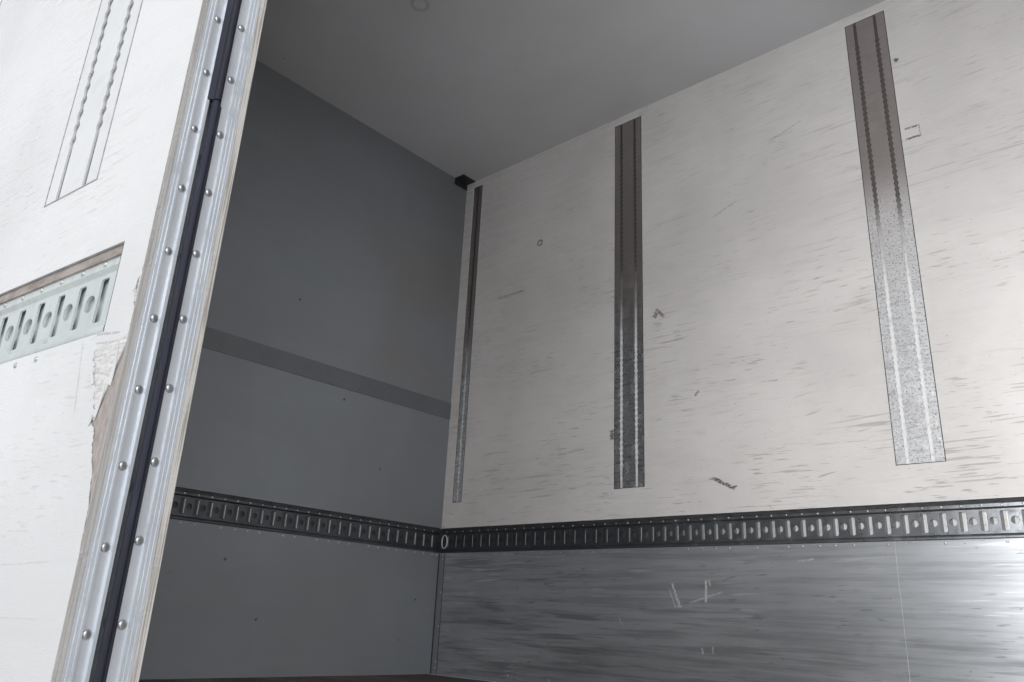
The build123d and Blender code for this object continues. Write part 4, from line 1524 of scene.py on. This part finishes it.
row_gap = 0.011
above_rail, below_rail = rail_base + rail_top + row_gap, rail_base - row_gap
corner_places = ((0.014, above_rail), (0.026, below_rail), (0.078, below_rail))
corner_screws = in_space(right_space, [((u, 0.0, w), to_room) for u, w in corner_places])
corner_screws += in_space(front_space, [((2 * inner_side - row_inset, 0.0, below_rail), to_room)])
kick_inset = 0.030
kick_end = wall_length - 0.050
kick_pitch = 0.236
angle_pitch = 0.170
kick_rows = line_of((kick_inset, 0.0, kick_inset), (kick_end, 0.0, kick_inset), kick_pitch, to_room)
angle_foot = (kick_inset, -angle_sheet, 2 * kick_inset)
angle_head = (kick_inset, -angle_sheet, rail_base - kick_inset)
kick_rows += line_of(angle_foot, angle_head, angle_pitch, to_room)
body_rivets = (
    in_space(fixed_space, fixed_rows)
    + in_space(right_space, right_rows + kick_rows)
    + in_space(left_space, sill_rows)
    + corner_screws
)
fasteners("body_rivets", "body_shell", rivet_head, body_rivets)

# Rear doors: three strap hinges each, their bolts and the rivets between the straps
bracket_inset = 0.050
hinge_heights = (
    bracket_low.z + bracket_inset,
    (bracket_low.z + bracket_high.z) / 2,
    bracket_high.z - bracket_inset,
)
strap_slope = 0.0707
strap_face = 0.0098
strap_start = 1.133
strap_holes = (0.018, 0.052, 0.086)
door_rows = (0.030, 1.225)
door_row_low, door_row_high = floor + 0.020, ceiling - 0.080
strap_gap = 0.080
bracket_columns = (0.050, 0.082)
bracket_rows = (-0.032, 0.032)
bracket_face = 0.010

for side, door in ((-1, "rear_door_left"), (1, "rear_door_right")):
    strap_bolts = [
        (
            Vector((rear_face + strap_face + strap_slope * run, side * (strap_start + run), height)),
            (1.0, -side * strap_slope, 0.0),
        )
        for height in hinge_heights
        for run in strap_holes
    ]
    edge_rivets = []
    for y in door_rows:
        for low, high in zip((door_row_low, *hinge_heights), (*hinge_heights, door_row_high)):
            bottom = (rear_face, side * y, low + strap_gap)
            top = (rear_face, side * y, high - strap_gap)
            edge_rivets += line_of(bottom, top, outer_pitch, (1.0, 0.0, 0.0))
    fasteners(f"{door}_bolts", door, bolt_head, strap_bolts)
    fasteners(f"{door}_rivets", door, rivet_head, edge_rivets)

bracket_bolts = [
    (Vector((rear_post + column, side * (outer_side + bracket_face), height + up)), (0.0, side, 0.0))
    for side in (-1, 1)
    for height in hinge_heights
    for column in bracket_columns
    for up in bracket_rows
]
fasteners("bracket_bolts", "body_shell", bolt_head, bracket_bolts)

for head in (rivet_head, screw_head, bolt_head):
    bpy.data.objects.remove(head)


# Floor, lights and camera; the camera's turns are its yaw, pitch and roll in degrees

stage_reach = 40.0
camera_place = (-0.5845, -1.6792, 0.5129)
camera_turns = (42.44, 19.55, 2.83)
camera_lens = 27.72
camera_sensor = 36.0


def stage_floor():
    """A plain pale floor under the part."""
    corners = [(x * stage_reach, y * stage_reach, 0.0) for x, y in ((-1, -1), (1, -1), (1, 1), (-1, 1))]
    mesh = bpy.data.meshes.new("stage_floor")
    mesh.from_pydata(corners, [], [(0, 1, 2, 3)])
    made = placed("stage_floor", mesh)
    finish = Finish("stage_floor")
    cloud = finish.noise(finish.place, 0.4, 3.0)
    mesh.materials.append(finish.done(cloud.over(grey(0.62), grey(0.68)), 0.8))


def soft_light(name, place, aim, size, power, spread=180.0):
    """A large soft lamp that the camera doesn't see."""
    data = bpy.data.lights.new(name, "AREA")
    data.shape = "RECTANGLE"
    data.size, data.size_y = size
    data.energy = power
    data.spread = math.radians(spread)
    lamp = placed(name, data)
    lamp.location = place
    lamp.rotation_euler = (Vector(aim) - Vector(place)).to_track_quat("-Z", "Y").to_euler()
    lamp.visible_camera = False


def studio_world():
    """Even pale light from all around."""
    world = bpy.data.worlds.new("studio")
    world.use_nodes = True
    tree = world.node_tree
    tree.nodes.clear()
    start = Socket(tree)
    sky = start.node("ShaderNodeBackground", {"Color": paint(0.95, 0.97, 1.0), "Strength": 0.82})
    start.node("ShaderNodeOutputWorld", {"Surface": sky})
    bpy.context.scene.world = world


stage_floor()
studio_world()
# name, place, aim, size, power in watts and spread in degrees
soft_light("side_sky", (-1.3, -9.0, 3.9), (-1.2, 0.0, 1.2), (6.0, 7.0), 192.0)
soft_light("rear_sky", (14.2, -8.7, 7.1), (-2.0, -0.7, 1.0), (9.0, 9.0), 1350.0)
soft_light("doorway_sky", (-0.75, -0.98, 1.15), (-1.1, 1.24, 0.80), (1.0, 1.8), 34.0, 160.0)


def photo_camera():
    """Camera at the photographed angle: below and outside the doorway, looking up and in."""
    yaw, pitch, roll = (math.radians(turn) for turn in camera_turns)
    level_part = math.cos(pitch)
    look = Vector((-math.sin(yaw) * level_part, math.cos(yaw) * level_part, math.sin(pitch)))
    level = Vector((math.cos(yaw), math.sin(yaw), 0.0))
    above = level.cross(look)
    right = level * math.cos(roll) + above * math.sin(roll)
    up = above * math.cos(roll) - level * math.sin(roll)
    data = bpy.data.cameras.new("photo_camera")
    data.lens = camera_lens
    data.sensor_width = camera_sensor
    data.clip_start = 0.01
    camera = placed("photo_camera", data)
    place = Matrix((right, up, -look)).transposed().to_4x4()
    place.translation = camera_place
    camera.matrix_world = place
    bpy.context.scene.camera = camera


photo_camera()
bpy.context.scene.view_settings.view_transform = "Standard"
